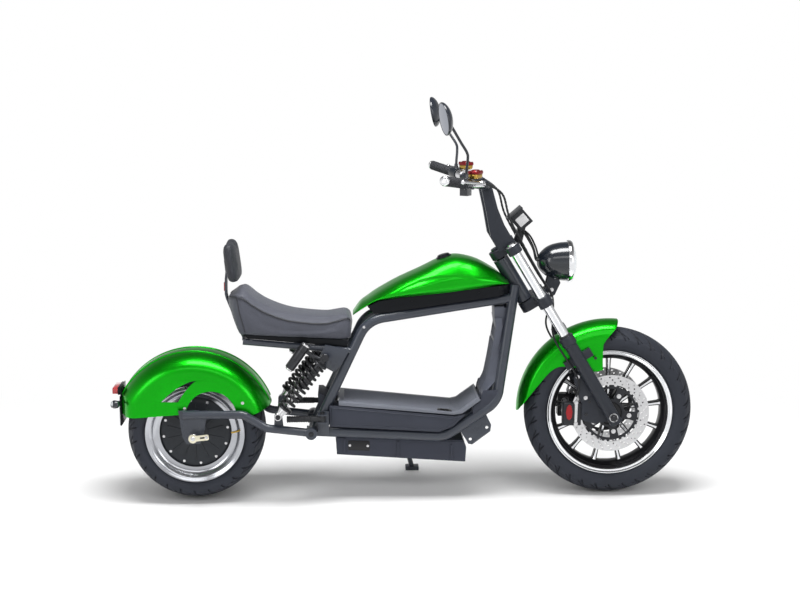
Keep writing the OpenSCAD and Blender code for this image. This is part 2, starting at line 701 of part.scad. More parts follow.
module front_rim() {
  color([0.55, 0.55, 0.58]) front_end() difference() {
    union() {
      turned(front_x, front_z) polygon([[219, 53], [219, 45.2], [202.8, 45.2], [202.8, 32], [191, 22],
        [191, -22], [202.8, -32], [202.8, -45.2], [219, -45.2], [219, -53], [208, -53], [196, -44],
        [196, -33], [185, -20], [185, 20], [196, 33], [196, 44], [208, 53]]);
      cross_pin(front_x, front_z, -62, 62, 42);
      cross_pin(front_x, front_z, -70, 70, 22);
      for (i = [0:spoke_count - 1]) translate([front_x, 0, front_z])
        rotate([0, 360 * i / spoke_count + 0.2, 0]) translate([-7.5, -13, 30]) cube([15, 26, 157]);
    }
    cross_pin(front_x, front_z, -100, 100, axle_r + run_gap);
  }
}

module front_discs() {
  color([0.6, 0.6, 0.62]) front_end() both() difference() {
    cross_pin(front_x, front_z, 62.3, 67.3, front_disc_r);
    cross_pin(front_x, front_z, 50, 80, 24);
    for (i = [0:4]) translate([front_x, 0, front_z]) rotate([0, 72 * i, 0])
      cross_pin(80, 0, 50, 80, 16);
  }
}

module rear_tyre() {
  color([0.1, 0.1, 0.1]) rear_end() turned(rear_x, rear_z)
    polygon(tyre_outline(rear_z, rear_tyre_w, 171, 155, 84, 190, rear_tyre_w * 0.42));
}

module rear_rim() {
  color([0.75, 0.75, 0.78]) rear_end() turned(rear_x, rear_z) polygon([[171, 92], [171, 84.2],
    [154.8, 84.2], [154.8, -84.2], [171, -84.2], [171, -92], [160, -92], [148, -82], [138, -68],
    [122, -64], [121.2, -40], [121.2, 40], [122, 64], [138, 68], [148, 82], [160, 92]]);
}

module hub_motor() {
  color([0.12, 0.12, 0.13]) rear_end() difference() {
    turned(rear_x, rear_z) polygon([[0, -74], [40, -74], [46, -66], [112, -60], [motor_r, -54],
      [motor_r, 54], [112, 60], [46, 66], [40, 74], [0, 74]]);
    cross_pin(rear_x, rear_z, -100, 100, axle_r + run_gap);
  }
}

module rear_disc() {
  color([0.6, 0.6, 0.62]) rear_end() difference() {
    union() {
      cross_pin(rear_x, rear_z, 95.5, 100.5, rear_disc_r);
      cross_pin(rear_x, rear_z, 74.2, 95.6, 38);
    }
    cross_pin(rear_x, rear_z, 60, 110, 20);
  }
}

// side stand: swings about a tilted pin, its leg points forward of the pin
stand_splay = 31;
stand_fore = 12;
stand_pin = [-4, 112, 204];
stand_len = (stand_pin[2] * cos(lean) - stand_pin[1] * sin(lean) + park_lift - 7)
  / (cos(stand_fore) * (sin(lean) * sin(stand_splay) + cos(lean) * cos(stand_splay)));
stand_y = (stand_pin[1] + stand_len * cos(stand_fore) * sin(stand_splay)) * cos(lean)
  + (stand_pin[2] - stand_len * cos(stand_fore) * cos(stand_splay)) * sin(lean);

module stand_place() {
  translate(stand_pin) rotate([stand_splay, 0, 0]) children();
}

module side_stand() {
  color([0.18, 0.18, 0.19]) {
    parked() stand_place() rotate([0, -stand_fore, 0]) difference() {
      union() {
        rotate([90, 0, 0]) cylinder(h = 18.4, r = 11, center = true);
        rotate([180, 0, 0]) cylinder(h = stand_len, r = 9);
      }
      rotate([90, 0, 0]) cylinder(h = 60, r = 5.56, center = true);
    }
    translate([stand_pin[0] + stand_len * sin(stand_fore) - 24, stand_y - 18, 0]) cube([48, 36, 12]);
  }
}

// folding foot pegs
module foot_peg() {
  difference() {
    union() {
      translate([-280, 134, 289.5]) cylinder(h = 21, r = 11);
      rod([-285, 136, 300], [-398, 140, 300], 9.5);
    }
    translate([-280, 134, 280]) cylinder(h = 40, r = 5.05);
  }
}

module foot_peg_right() {
  color([0.25, 0.25, 0.27]) rear_end() mirror([0, 1, 0]) foot_peg();
}

module foot_peg_left() {
  color([0.25, 0.25, 0.27]) rear_end() foot_peg();
}

main_frame();
seat_rails();
frame_brackets();
battery_box();
floor_tub();
battery_pack();
side_panels();
riser_panel();
tank_cover();
tank_skirt();
seat_pan();
saddle();
backrest_bar();
backrest_pad();
swing_arm();
shock_bodies();
shock_springs();
rear_axle();
rear_fender();
plate_holder();
tail_lamps();
rear_caliper();
lower_yoke();
top_clamp();
fork_tubes();
fork_sliders();
front_axle();
front_fender();
front_calipers();
lamp_bucket();
lamp_lens();
instrument();
bar_risers();
handlebar();
grips();
switch_pods();
brake_levers();
reservoirs();
mirrors();
brake_hoses();
front_tyre();
front_rim();
front_discs();
rear_tyre();
rear_rim();
hub_motor();
rear_disc();
side_stand();
deck_lid();
foot_peg_right();
foot_peg_left();
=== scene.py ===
import json
import math

import bmesh
import bpy
from mathutils import Matrix, Vector
from mathutils.geometry import tessellate_polygon


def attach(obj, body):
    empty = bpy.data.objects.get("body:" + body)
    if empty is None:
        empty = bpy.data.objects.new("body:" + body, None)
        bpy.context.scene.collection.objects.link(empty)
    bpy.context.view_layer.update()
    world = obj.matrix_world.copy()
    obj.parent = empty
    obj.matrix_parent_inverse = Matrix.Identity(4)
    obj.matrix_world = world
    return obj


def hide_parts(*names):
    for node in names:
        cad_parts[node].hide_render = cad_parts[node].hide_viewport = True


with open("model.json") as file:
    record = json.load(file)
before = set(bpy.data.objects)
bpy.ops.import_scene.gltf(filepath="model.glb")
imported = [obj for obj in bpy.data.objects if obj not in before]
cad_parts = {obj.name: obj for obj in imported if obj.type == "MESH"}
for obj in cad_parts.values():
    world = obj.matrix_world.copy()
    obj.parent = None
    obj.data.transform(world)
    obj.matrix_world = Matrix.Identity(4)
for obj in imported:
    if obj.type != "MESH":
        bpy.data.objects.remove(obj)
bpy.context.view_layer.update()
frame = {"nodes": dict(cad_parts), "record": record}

# %% [markdown]
# # Electric chopper scooter
# The solids carry every size. This file dresses them: it makes paint, leather, rubber and chrome, and it
# adds the things that are too small or too soft for a solid, such as stitches, bolts, tread and drilled
# brake discs. Sizes are written in millimetres with the scooter upright, nose along +X and left along +Y.
# The real one leans on its side stand, so one matrix leans every finished mesh at the end.

# %% Upright millimetres to the parked frame
AHEAD, LEFT, UP = Vector((1, 0, 0)), Vector((0, 1, 0)), Vector((0, 0, 1))
LEAN, LIFT = math.radians(5), 0.00072
PARKED = Matrix.Translation(LIFT * UP) @ Matrix.Rotation(-LEAN, 4, "X") @ Matrix.Scale(0.001, 4)
FRONT_AXLE = Vector((718, 0, 294))
REAR_AXLE = Vector((-718, 0, 238.5))
RAKE = math.radians(31)
FORK = Matrix.Translation(FRONT_AXLE) @ Matrix.Rotation(-RAKE, 4, "Y")


def fork_point(x, y, z):
    """A point given along the fork, z up the legs, as an upright point."""
    return FORK @ Vector((x, y, z))


print("front axle in the parked frame:", [round(v, 4) for v in PARKED @ FRONT_AXLE])

# %% [markdown]
# ## Camera
# A long lens from the right side, a little above the saddle. The place was worked out from the two round
# wheels and the wheelbase, so the camera is given as an eye and an aim in the upright frame and leaned
# with the scooter. The vehicle then stands in the picture as it stands in the photograph.

# %% Camera at the photograph's angle
EYE, AIM = Vector((-174.2, -4935.6, 1515.6)), Vector((-10.9, 0.0, 685.5))
SENSOR = 36  # millimetres
FOCAL, PICTURE = 1448.35, 800  # pixels
back = (EYE - AIM).normalized()
right = UP.cross(back).normalized()
basis = Matrix((right, back.cross(right), back)).transposed()
camera = bpy.data.objects.new("camera", bpy.data.cameras.new("camera"))
camera.data.sensor_width = SENSOR
camera.data.lens = SENSOR * FOCAL / PICTURE
camera.matrix_world = Matrix.Translation(PARKED @ EYE) @ (PARKED.to_3x3().normalized() @ basis).to_4x4()
bpy.context.collection.objects.link(camera)
bpy.context.scene.camera = camera
print("camera at", [round(v, 3) for v in camera.location], "lens", round(camera.data.lens, 1))

# %% [markdown]
# ## Writing node trees as sums
# A node tree is arithmetic drawn as boxes. One small class wraps an output socket and knows +, -, * and /,
# so a mask can be written as `1 - dirt * 0.4`. A second class adds any other node from its type, its
# settings and its sockets. Both serve materials and Geometry Nodes alike.


# %% A socket that can be added and multiplied
class Wire:
    def __init__(self, graph, socket):
        self.graph = graph
        self.socket = socket

    def __add__(self, other):
        return self.graph.math("ADD", self, other)

    def __sub__(self, other):
        return self.graph.math("SUBTRACT", self, other)

    def __rsub__(self, other):
        return self.graph.math("SUBTRACT", other, self)

    def __mul__(self, other):
        return self.graph.math("MULTIPLY", self, other)

    def __truediv__(self, other):
        return self.graph.math("DIVIDE", self, other)

    __radd__ = __add__
    __rmul__ = __mul__

    def out(self, name):
        """Another output of the same node."""
        return Wire(self.graph, self.socket.node.outputs[name])


# %% A tree that takes nodes from one method
class Graph:
    def __init__(self, tree):
        self.tree = tree

    def add(self, kind, settings=None, sockets=None, out=0):
        node = self.tree.nodes.new(kind)
        for key, value in (settings or {}).items():
            setattr(node, key, value)
        for key, value in (sockets or {}).items():
            self.plug(node.inputs[key], value)
        return Wire(self, node.outputs[out]) if node.outputs else node

    def plug(self, socket, value):
        if isinstance(value, Wire):
            self.tree.links.new(value.socket, socket)
        elif value is not None:
            socket.default_value = value

    def math(self, operation, a, b=None):
        return self.add("ShaderNodeMath", {"operation": operation}, {0: a, 1: b})

    def vector(self, operation, a, b=None, out=0):
        return self.add("ShaderNodeVectorMath", {"operation": operation}, {0: a, 1: b}, out)

    def join(self, *parts):
        joined = self.add("GeometryNodeJoinGeometry")
        for part in parts:
            self.plug(joined.socket.node.inputs[0], part)
        return joined


# %% [markdown]
# ## Finishes
# Each real surface here shows more than a colour. Moulded plastic has a fine grain and dull and shiny
# patches, paint has flakes under a clear coat, cast alloy is turned, and rubber is chalky. A finish is a
# Principled shader whose colour, roughness and bump come from noise read at the scale of the real grain.

# %% A finish with grain, patches and bump
FINISHES = {}


class Finish(Graph):
    def __init__(self, name, base, rough, metal=0.0, coat=0.0, **fixed):
        self.material = FINISHES[name] = bpy.data.materials.new(name)
        self.material.use_nodes = True
        super().__init__(self.material.node_tree)
        self.shader = self.tree.nodes["Principled BSDF"].inputs
        self.place = self.add("ShaderNodeTexCoord", out="Object")
        self.base = (*base, 1)
        for key, value in {"Base Color": self.base, "Roughness": rough, "Metallic": metal,
                           "Coat Weight": coat, **fixed}.items():
            self.shader[key].default_value = value

    def noise(self, scale, detail=3.0, rough=0.55, place=None):
        return self.add("ShaderNodeTexNoise", None, {"Vector": place or self.place, "Scale": scale,
                                                    "Detail": detail, "Roughness": rough})

    def cells(self, scale, feature="F1"):
        return self.add("ShaderNodeTexVoronoi", {"feature": feature}, {"Vector": self.place, "Scale": scale})

    def mix(self, amount, a, b):
        return self.add("ShaderNodeMix", {"data_type": "RGBA", "clamp_factor": True},
                        {0: amount, 6: a, 7: b}, 2)

    def tint(self, amount, dark=0.8, light=1.2):
        """The base colour, darker and lighter in patches."""
        low = tuple(c * dark for c in self.base[:3])
        high = tuple(min(1, c * light) for c in self.base[:3])
        self.plug(self.shader["Base Color"], self.mix(amount, (*low, 1), (*high, 1)))
        return self

    def roughen(self, value):
        self.plug(self.shader["Roughness"], value)
        return self

    def bump(self, height, depth, strength=0.5):
        """Depth is the real height of the relief in metres."""
        self.plug(self.shader["Normal"], self.add("ShaderNodeBump", None, {
            "Strength": strength, "Distance": depth, "Height": height}))
        return self


def moulded(name, base, rough, grain=900, depth=0.00012, strength=0.35, gloss=0.32, coat=0.0):
    """Moulded plastic or powder coat: fine grain, dull patches and a little dust in the colour."""
    f = Finish(name, base, rough, coat=coat, **{"Specular IOR Level": gloss})
    patch = f.noise(9, 4)
    fine = f.noise(grain, 2)
    f.tint(patch * 0.7 + fine * 0.3, 0.78, 1.24)
    f.roughen(patch * 0.16 + fine * 0.08 + (rough - 0.12))
    f.bump(fine, depth, strength)


def polished(name, base, rough, metal=1.0):
    """Polished or plated metal: faint smears in the gloss and fine polishing lines."""
    f = Finish(name, base, rough, metal)
    smear = f.noise(26, 4)
    drawn_out = f.add("ShaderNodeMapping", None, {"Vector": f.place, "Scale": (1, 1, 0.06)})
    lines = f.noise(1400, 1, place=drawn_out)
    f.tint(smear, 0.94, 1.05)
    f.roughen(smear * 0.1 + lines * 0.05 + (rough - 0.07))
    f.bump(lines, 0.00002, 0.15)


# %% Plastics, powder coat and metals
moulded("frame_paint", (0.030, 0.036, 0.050), 0.3, 1100, 0.00004, 0.15, gloss=0.55)
moulded("battery_case", (0.027, 0.031, 0.047), 0.52)
moulded("floor_plastic", (0.029, 0.033, 0.048), 0.5)
moulded("riser_plastic", (0.082, 0.090, 0.116), 0.46)
moulded("battery_cells", (0.03, 0.05, 0.09), 0.45)
moulded("skirt_black", (0.005, 0.006, 0.008), 0.3, 1400, 0.00003, 0.1, gloss=0.14)
moulded("spring_black", (0.010, 0.010, 0.012), 0.3, 1400, 0.00003, 0.15)
moulded("caliper_black", (0.013, 0.014, 0.018), 0.42, 700, 0.0001, 0.4)
moulded("fork_black", (0.016, 0.019, 0.027), 0.42, 1200, 0.00004, 0.2)
moulded("lamp_black", (0.008, 0.011, 0.016), 0.26, 1400, 0.00002, 0.1, coat=0.8)
moulded("display_black", (0.012, 0.013, 0.016), 0.34)
moulded("grip_rubber", (0.030, 0.031, 0.036), 0.72, 600, 0.0002, 0.5)
moulded("mirror_black", (0.012, 0.015, 0.022), 0.28, 1400, 0.00003, 0.15, coat=0.4)
moulded("hose_rubber", (0.014, 0.015, 0.017), 0.6)
moulded("motor_black", (0.015, 0.018, 0.023), 0.45, 800, 0.0001, 0.4)
moulded("rim_black", (0.010, 0.010, 0.012), 0.34, 900, 0.00006, 0.25)
moulded("screen_glass", (0.008, 0.010, 0.012), 0.12, 900, 0.00001, 0.05, coat=1.0)
moulded("cover_red", (0.30, 0.010, 0.014), 0.4, 1200, 0.00003, 0.15)
moulded("plate_white", (0.62, 0.63, 0.64), 0.42, 1200, 0.00003, 0.15)
# Deck lid plastic: partly its own grey, partly painted sheen of the sky on the lid's top, which makes it
# lighter than the other floor plastics.
moulded("deck_plastic", (0.15, 0.16, 0.19), 0.42, 700, 0.00016, 0.5)
moulded("peg_rubber", (0.024, 0.025, 0.028), 0.7, 600, 0.0002, 0.5)
polished("shock_metal", (0.035, 0.036, 0.040), 0.28, 0.7)
polished("bright_steel", (0.62, 0.62, 0.63), 0.26)
polished("chrome_tube", (0.82, 0.83, 0.85), 0.1)
polished("lever_alloy", (0.66, 0.66, 0.68), 0.24)
polished("reservoir_gold", (0.42, 0.27, 0.06), 0.3)
polished("lid_red", (0.20, 0.010, 0.014), 0.34, 0.7)
polished("zinc_plate", (0.74, 0.70, 0.55), 0.32)
polished("dish_alloy", (0.46, 0.47, 0.50), 0.2)
polished("dark_mirror", (0.20, 0.22, 0.27), 0.08)
polished("rim_alloy", (0.78, 0.79, 0.81), 0.14)
polished("disc_steel", (0.60, 0.60, 0.61), 0.3)

# %% Candy green paint
# Flakes sit under a deep clear coat, so the colour is lively in the light and dark at the edges.
green = Finish("body_green", (0.002, 0.36, 0.003), 0.28, 0.92, 0.16, **{"Coat Roughness": 0.06})
flake = green.cells(2600)
cloud = green.noise(6, 3)
green.tint(cloud * 0.5 + flake.out("Color") * 0.35 + 0.1, 0.72, 1.3)
green.roughen(flake * 0.2 + 0.22)
green.bump(flake, 0.00002, 0.12)
print("green paint:", len(green.tree.nodes), "nodes")

# %% Leather, rubber, lamp glass
for name, base, sheen in (("seat_leather", (0.054, 0.058, 0.078), 0.15),
                          ("back_leather", (0.015, 0.017, 0.024), 0.0)):
    leather = Finish(name, base, 0.5, **{"Sheen Weight": sheen})
    pores = leather.cells(520, "DISTANCE_TO_EDGE")
    folds = leather.noise(38, 4)
    leather.tint(folds * 0.6 + pores * 1.2, 0.72, 1.25)
    leather.roughen(0.62 - pores * 0.5 + folds * 0.1)
    leather.bump(pores * 1.5 + folds * 0.6, 0.0006, 0.55)
moulded("thread_grey", (0.075, 0.078, 0.09), 0.6, 2400)
moulded("piping_black", (0.030, 0.031, 0.037), 0.42, 1500, 0.00005, 0.3)

rubber = Finish("tyre_rubber", (0.020, 0.023, 0.032), 0.7, **{"Specular IOR Level": 0.3})
scuff = rubber.noise(14, 5, 0.6)
grit = rubber.noise(700, 2)
groove_shade = rubber.add("ShaderNodeAttribute", {"attribute_name": "groove"}, out="Fac")
# Painted shade: the colour is darkened where the tread tree stored its grooves.
rubber.tint(scuff * 0.41 + grit * 0.1 + 0.49 - groove_shade * 0.45, 0.08, 1.35)
rubber.roughen(scuff * 0.2 + 0.58)
rubber.bump(grit, 0.0002, 0.5)

red = Finish("red_lens", (0.42, 0.012, 0.016), 0.16, coat=1.0)
facets = red.cells(260)
red.tint(facets, 0.55, 1.4)
red.bump(facets, 0.0006, 0.4)

glass = Finish("lamp_glass", (0.90, 0.93, 0.95), 0.02, **{"Transmission Weight": 1.0, "IOR": 1.3})
glass.tint(glass.noise(40, 2), 0.96, 1.05)
glass.bump(glass.noise(60, 2), 0.0002, 0.1)
print("finishes:", len(FINISHES))

# %% [markdown]
# ## Finishes onto the solids
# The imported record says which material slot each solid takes, so one loop dresses every node that keeps
# its own shape. Pieces made further down stand in for the nodes that need a softer or finer shape.

# %% Dress every node by its slot
for row in frame["record"]["subparts"]:
    for holder in frame["nodes"][row["node"]].material_slots:
        holder.material = FINISHES[row["material_slot"]]

# %% [markdown]
# ## Making meshes
# Most pieces here are skins between rows of points: a tyre is a profile turned about the axle, a fender is
# an arched profile swept round the wheel, a hose is a ring carried along a path. One small class collects
# points and faces in upright millimetres, and one function turns it into an object that leans with the
# rest. Modifiers would keep the parts editable, but they are applied, so every piece is plain mesh.


# %% Curves
def turns(count):
    """The angles of a full turn in equal steps."""
    return [2 * math.pi * k / count for k in range(count)]


def smooth(points, count):
    """A smooth open curve through the points, as count + 1 points."""
    points = [Vector(p) for p in points]
    last = len(points) - 1
    curve = []
    for k in range(count + 1):
        u = last * k / count
        i = min(last - 1, int(u))
        t = u - i
        a, b, c, d = (points[max(0, min(last, i + s))] for s in (-1, 0, 1, 2))
        curve.append(0.5 * (2 * b + (c - a) * t + (2 * a - 5 * b + 4 * c - d) * t * t
                            + (3 * b - a - 3 * c + d) * t ** 3))
    return curve


def arc(x, z, radius, start, stop, count):
    turn = [math.radians(start + (stop - start) * i / count) for i in range(count + 1)]
    return [(x + radius * math.cos(a), z + radius * math.sin(a)) for a in turn]


def ease(value, low, high):
    """0 below low, 1 above high, and a soft step between."""
    t = max(0.0, min(1.0, (value - low) / (high - low)))
    return t * t * (3 - 2 * t)


def along(table, value):
    """Straight lines through a table of (key, value) rows."""
    for (a, p), (b, q) in zip(table, table[1:]):
        if value <= b:
            return p + (q - p) * max(0.0, (value - a) / (b - a))
    return table[-1][1]


# %% Skins
def cleaned(mesh, near=0):
    """Faces turned outwards, after points that lie nearer than near are merged."""
    tidy = bmesh.new()
    tidy.from_mesh(mesh)
    if near:
        bmesh.ops.remove_doubles(tidy, verts=tidy.verts, dist=near)
        bmesh.ops.dissolve_degenerate(tidy, dist=near, edges=tidy.edges)
    bmesh.ops.recalc_face_normals(tidy, faces=tidy.faces)
    tidy.to_mesh(mesh)
    tidy.free()
    return mesh


class Shape:
    """Points and faces in upright millimetres."""

    def __init__(self):
        self.points = []
        self.faces = []

    def add(self, points, faces):
        start = len(self.points)
        self.points += [Vector(p) for p in points]
        self.faces += [[start + i for i in face] for face in faces]
        return self

    def skin(self, rows, ring=False, loop=False, caps=False):
        """Quads between rows; ring closes each row, loop joins the last row to the first."""
        n, m = len(rows), len(rows[0])
        faces = []
        for i in range(n if loop else n - 1):
            for j in range(m if ring else m - 1):
                k, l = (i + 1) % n, (j + 1) % m
                faces.append((i * m + j, i * m + l, k * m + l, k * m + j))
        if caps:
            faces += [list(range(m)), list(range((n - 1) * m, n * m))]
        return self.add([p for row in rows for p in row], faces)

    def lathe(self, profile, centre, steps):
        """A closed profile of (radius, sideways) turned about an axle along Y."""
        rows = [[centre + Vector((r * math.cos(a), y, r * math.sin(a))) for r, y in profile]
                for a in turns(steps)]
        return self.skin(rows, ring=True, loop=True)

    def tube(self, path, radius, sides=12, loop=False, flat=1.0):
        """A round bar along a path; radius is a number or one number for each point."""
        path = [Vector(p) for p in path]
        n = len(path)
        radii = radius if isinstance(radius, (list, tuple)) else [radius] * n
        rows = []
        side = None
        for i, p in enumerate(path):
            before = path[i - 1] if loop or i > 0 else p
            after = path[(i + 1) % n] if loop or i < n - 1 else p
            way = (after - before).normalized()
            side = side or way.orthogonal()
            side = (side - way * side.dot(way)).normalized()
            up = way.cross(side)
            rows.append([p + radii[i] * (math.cos(a) * side + flat * math.sin(a) * up) for a in turns(sides)])
        return self.skin(rows, ring=True, loop=loop, caps=not loop)

    def slab(self, outline, low, high, holes=()):
        """A flat plate across Y from its outline of (x, z), with holes."""
        loops = [list(outline)] + [list(h) for h in holes]
        flat = [Vector((x, z, 0)) for edge in loops for x, z in edge]
        faces = tessellate_polygon([[Vector((x, z, 0)) for x, z in edge] for edge in loops])
        n = len(flat)
        points = [(p.x, y, p.y) for y in (low, high) for p in flat]
        walls, start = [], 0
        for edge in loops:
            m = len(edge)
            for i in range(m):
                here, there = start + i, start + (i + 1) % m
                walls.append((here, there, n + there, n + here))
            start += m
        return self.add(points, [list(f) for f in faces] + [[n + i for i in f] for f in faces] + walls)

    def box(self, low, high):
        xs, ys, zs = zip(low, high)
        return self.add([(x, y, z) for x in xs for y in ys for z in zs],
                        [(0, 1, 3, 2), (4, 6, 7, 5), (0, 4, 5, 1), (2, 3, 7, 6), (0, 2, 6, 4), (1, 5, 7, 3)])

    def moved(self, matrix):
        self.points = [matrix @ p for p in self.points]
        return self

    def both(self):
        """Add the other side of the vehicle."""
        return self.add([(p.x, -p.y, p.z) for p in self.points], [f[::-1] for f in self.faces])

    def mesh(self, name, place=PARKED):
        mesh = bpy.data.meshes.new(name)
        mesh.from_pydata([place @ p for p in self.points], [], self.faces)
        return cleaned(mesh, 2e-3 * place.to_scale().x)


# %% Objects that ride on a body
def applied(thing):
    """The object with its modifiers turned into plain mesh."""
    graph = bpy.context.evaluated_depsgraph_get()
    graph.update()
    mesh = bpy.data.meshes.new_from_object(thing.evaluated_get(graph))
    thing.modifiers.clear()
    thing.data = mesh
    return thing


def placed(name, mesh):
    thing = bpy.data.objects.new(name, mesh)
    bpy.context.collection.objects.link(thing)
    return thing


def finished(thing, slot, body, finish=None, sharp=32, replaces=()):
    """Finish, smooth shading with sharp edges, slot, body and the nodes that the piece stands for."""
    thing.data.materials.clear()
    thing.data.materials.append(FINISHES[finish or slot])
    thing.data.shade_smooth()
    thing.data.set_sharp_from_angle(angle=math.radians(sharp))
    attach(thing, body)
    if replaces:
        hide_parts(*replaces)
    return thing


def rounded(thing, width, segments, angle):
    """A bevel on every edge that turns by more than the angle."""
    soft = thing.modifiers.new("round", "BEVEL")
    soft.width, soft.segments, soft.limit_method = width / 1000, segments, "ANGLE"
    soft.angle_limit, soft.use_clamp_overlap = math.radians(angle), True


def piece(name, shape, slot, body, finish=None, sharp=32, wall=0, round_edge=0, replaces=()):
    """A finished piece from a shape: wall thickens a sheet inwards, round_edge softens its corners."""
    thing = placed(name, shape.mesh(name))
    if wall:
        skin = thing.modifiers.new("wall", "SOLIDIFY")
        skin.thickness, skin.offset, skin.use_even_offset = wall / 1000, -1, True
    if round_edge:
        rounded(thing, round_edge, 2, 38)
    if thing.modifiers:
        applied(thing)
    print(name, len(thing.data.polygons), "faces")
    return finished(thing, slot, body, finish, sharp, replaces)


def softened(node, body, slot, width, finish=None):
    """A copy of a solid with rounded edges, in place of the solid."""
    shell = bmesh.new()
    shell.from_mesh(frame["nodes"][node].data)
    bmesh.ops.remove_doubles(shell, verts=shell.verts, dist=1e-6)
    bmesh.ops.dissolve_limit(shell, angle_limit=math.radians(1), verts=shell.verts, edges=shell.edges)
    mesh = bpy.data.meshes.new(node + "_soft")
    shell.to_mesh(mesh)
    shell.free()
    thing = placed(node + "_soft", mesh)
    rounded(thing, width, 3, 40)
    print(thing.name, "rounded by", width, "mm")
    return finished(applied(thing), slot, body, finish, replaces=(node,))


# %% [markdown]
# ## Trees that repeat things
# Spokes, bolts, ribs, stitches and drilled holes are one small shape repeated by a rule, which is what
# Geometry Nodes are for. Each tree has named inputs, ends in Realize Instances and Set Material, and its
# result becomes a plain mesh, so nothing of the tree is needed later.


# %% Starting and running a tree
def new_tree(name, **inputs):
    group = bpy.data.node_groups.new(name, "GeometryNodeTree")
    group.interface.new_socket(name="Geometry", in_out="INPUT", socket_type="NodeSocketGeometry")
    for label, kind in {**inputs, "Finish": "Material"}.items():
        group.interface.new_socket(name=label, in_out="INPUT", socket_type="NodeSocket" + kind)
    group.interface.new_socket(name="Geometry", in_out="OUTPUT", socket_type="NodeSocketGeometry")
    graph = Graph(group)
    return graph, graph.add("NodeGroupInput", out="Geometry")


def end_tree(graph, given, geometry):
    real = graph.add("GeometryNodeRealizeInstances", None, {"Geometry": geometry})
    graph.add("NodeGroupOutput", None, {"Geometry": graph.add("GeometryNodeSetMaterial", None, {
        "Geometry": real, "Material": given.out("Finish")})})
    print(graph.tree.name, len(graph.tree.nodes), "nodes")
    return graph.tree


def grown(name, group, mesh, values, slot, body, place=None, finish=None, sharp=32, replaces=()):
    """Run a tree on a mesh, keep the result as a plain mesh and put it in its place."""
    thing = placed(name, mesh)
    rule = thing.modifiers.new("rule", "NODES")
    rule.node_group = group
    for item in group.interface.items_tree:
        if item.in_out == "INPUT" and item.name != "Geometry":
            rule[item.identifier] = FINISHES[finish or slot] if item.name == "Finish" else values[item.name]
    applied(thing)
    if place is not None:
        thing.data.transform(place)
    print(name, len(thing.data.polygons), "faces")
    return finished(thing, slot, body, finish, sharp, replaces)


# %% A ring of copies about an axle
ring_graph, given = new_tree("ring_of_copies", Count="Int")
ring_points = ring_graph.add("GeometryNodePoints", None, {"Count": given.out("Count")})
ring_angle = ring_graph.add("GeometryNodeInputIndex") * (2 * math.pi) / given.out("Count")
ring_copies = ring_graph.add("GeometryNodeInstanceOnPoints", None, {
    "Points": ring_points, "Instance": given,
    "Rotation": ring_graph.add("ShaderNodeCombineXYZ", None, {"Y": ring_angle})})
RING = end_tree(ring_graph, given, ring_copies)


def ring_of(name, shape, count, centre, slot, body, **more):
    """Copies of a shape, drawn about the origin, spaced round an axle."""
    local = shape.mesh(name, Matrix.Identity(4))
    return grown(name, RING, local, {"Count": count}, slot, body,
                 PARKED @ Matrix.Translation(Vector(centre)), **more)


# %% Bolts on points
# Every point carries the way its bolt looks out. A bolt is a washer, a round head and a small dished end.
bolt_graph, given = new_tree("bolts", Head="Float", Height="Float", Sides="Int")
head, height, corners = (given.out(name) for name in ("Head", "Height", "Sides"))


def bolt_part(radius, depth, sides, lift):
    part = bolt_graph.add("GeometryNodeMeshCylinder", None, {
        "Vertices": sides, "Radius": radius, "Depth": depth})
    return bolt_graph.add("GeometryNodeTransform", None, {
        "Geometry": part, "Translation": bolt_graph.add("ShaderNodeCombineXYZ", None, {"Z": lift})})


bolt_body = bolt_graph.join(bolt_part(head * 1.35, height * 0.3, 20, height * 0.15 - 0.4),
                            bolt_part(head, height * 0.8, corners, height * 0.55),
                            bolt_part(head * 0.78, height * 0.24, corners, height * 1.02))
bolt_turn = bolt_graph.add("FunctionNodeAlignRotationToVector", {"axis": "Z"}, {
    "Vector": bolt_graph.add("GeometryNodeInputNamedAttribute", {"data_type": "FLOAT_VECTOR"}, {
        "Name": "aim"})})
BOLTS = end_tree(bolt_graph, given, bolt_graph.add("GeometryNodeInstanceOnPoints", None, {
    "Points": given, "Instance": bolt_body, "Rotation": bolt_turn}))


def bolts(name, spots, head, height, slot, body, sides=6, **more):
    """Bolts on (point, direction) spots in upright millimetres."""
    mesh = bpy.data.meshes.new(name)
    mesh.from_pydata([tuple(p) for p, _ in spots], [], [])
    aim = mesh.attributes.new("aim", "FLOAT_VECTOR", "POINT")
    for cell, (_, way) in zip(aim.data, spots):
        cell.vector = Vector(way)
    return grown(name, BOLTS, mesh, {"Head": head, "Height": height, "Sides": sides}, slot, body, PARKED,
                 **more)


def both_sides(spots):
    return spots + [((p[0], -p[1], p[2]), (w[0], -w[1], w[2])) for p, w in spots]


def outward(*points):
    """Spots on both sides of the vehicle that look straight out."""
    return both_sides([(p, LEFT) for p in points])


# %% Stitches along a seam
stitch_graph, given = new_tree("stitches", Pitch="Float", Length="Float", Thread="Float")
stitch_curve = stitch_graph.add("GeometryNodeResampleCurve", {"mode": "LENGTH"}, {
    "Curve": stitch_graph.add("GeometryNodeMeshToCurve", None, {"Mesh": given}),
    "Length": given.out("Pitch")})
stitch_one = stitch_graph.add("GeometryNodeMeshUVSphere", None, {"Segments": 8, "Rings": 5, "Radius": 1.0})
stitch_size = stitch_graph.add("ShaderNodeCombineXYZ", None, {
    "X": given.out("Thread"), "Y": given.out("Thread"), "Z": given.out("Length")})
STITCH = end_tree(stitch_graph, given, stitch_graph.add("GeometryNodeInstanceOnPoints", None, {
    "Points": stitch_curve, "Instance": stitch_one, "Scale": stitch_size,
    "Rotation": stitch_graph.add("FunctionNodeAlignRotationToVector", {"axis": "Z"}, {
        "Vector": stitch_graph.add("GeometryNodeInputTangent")})}))


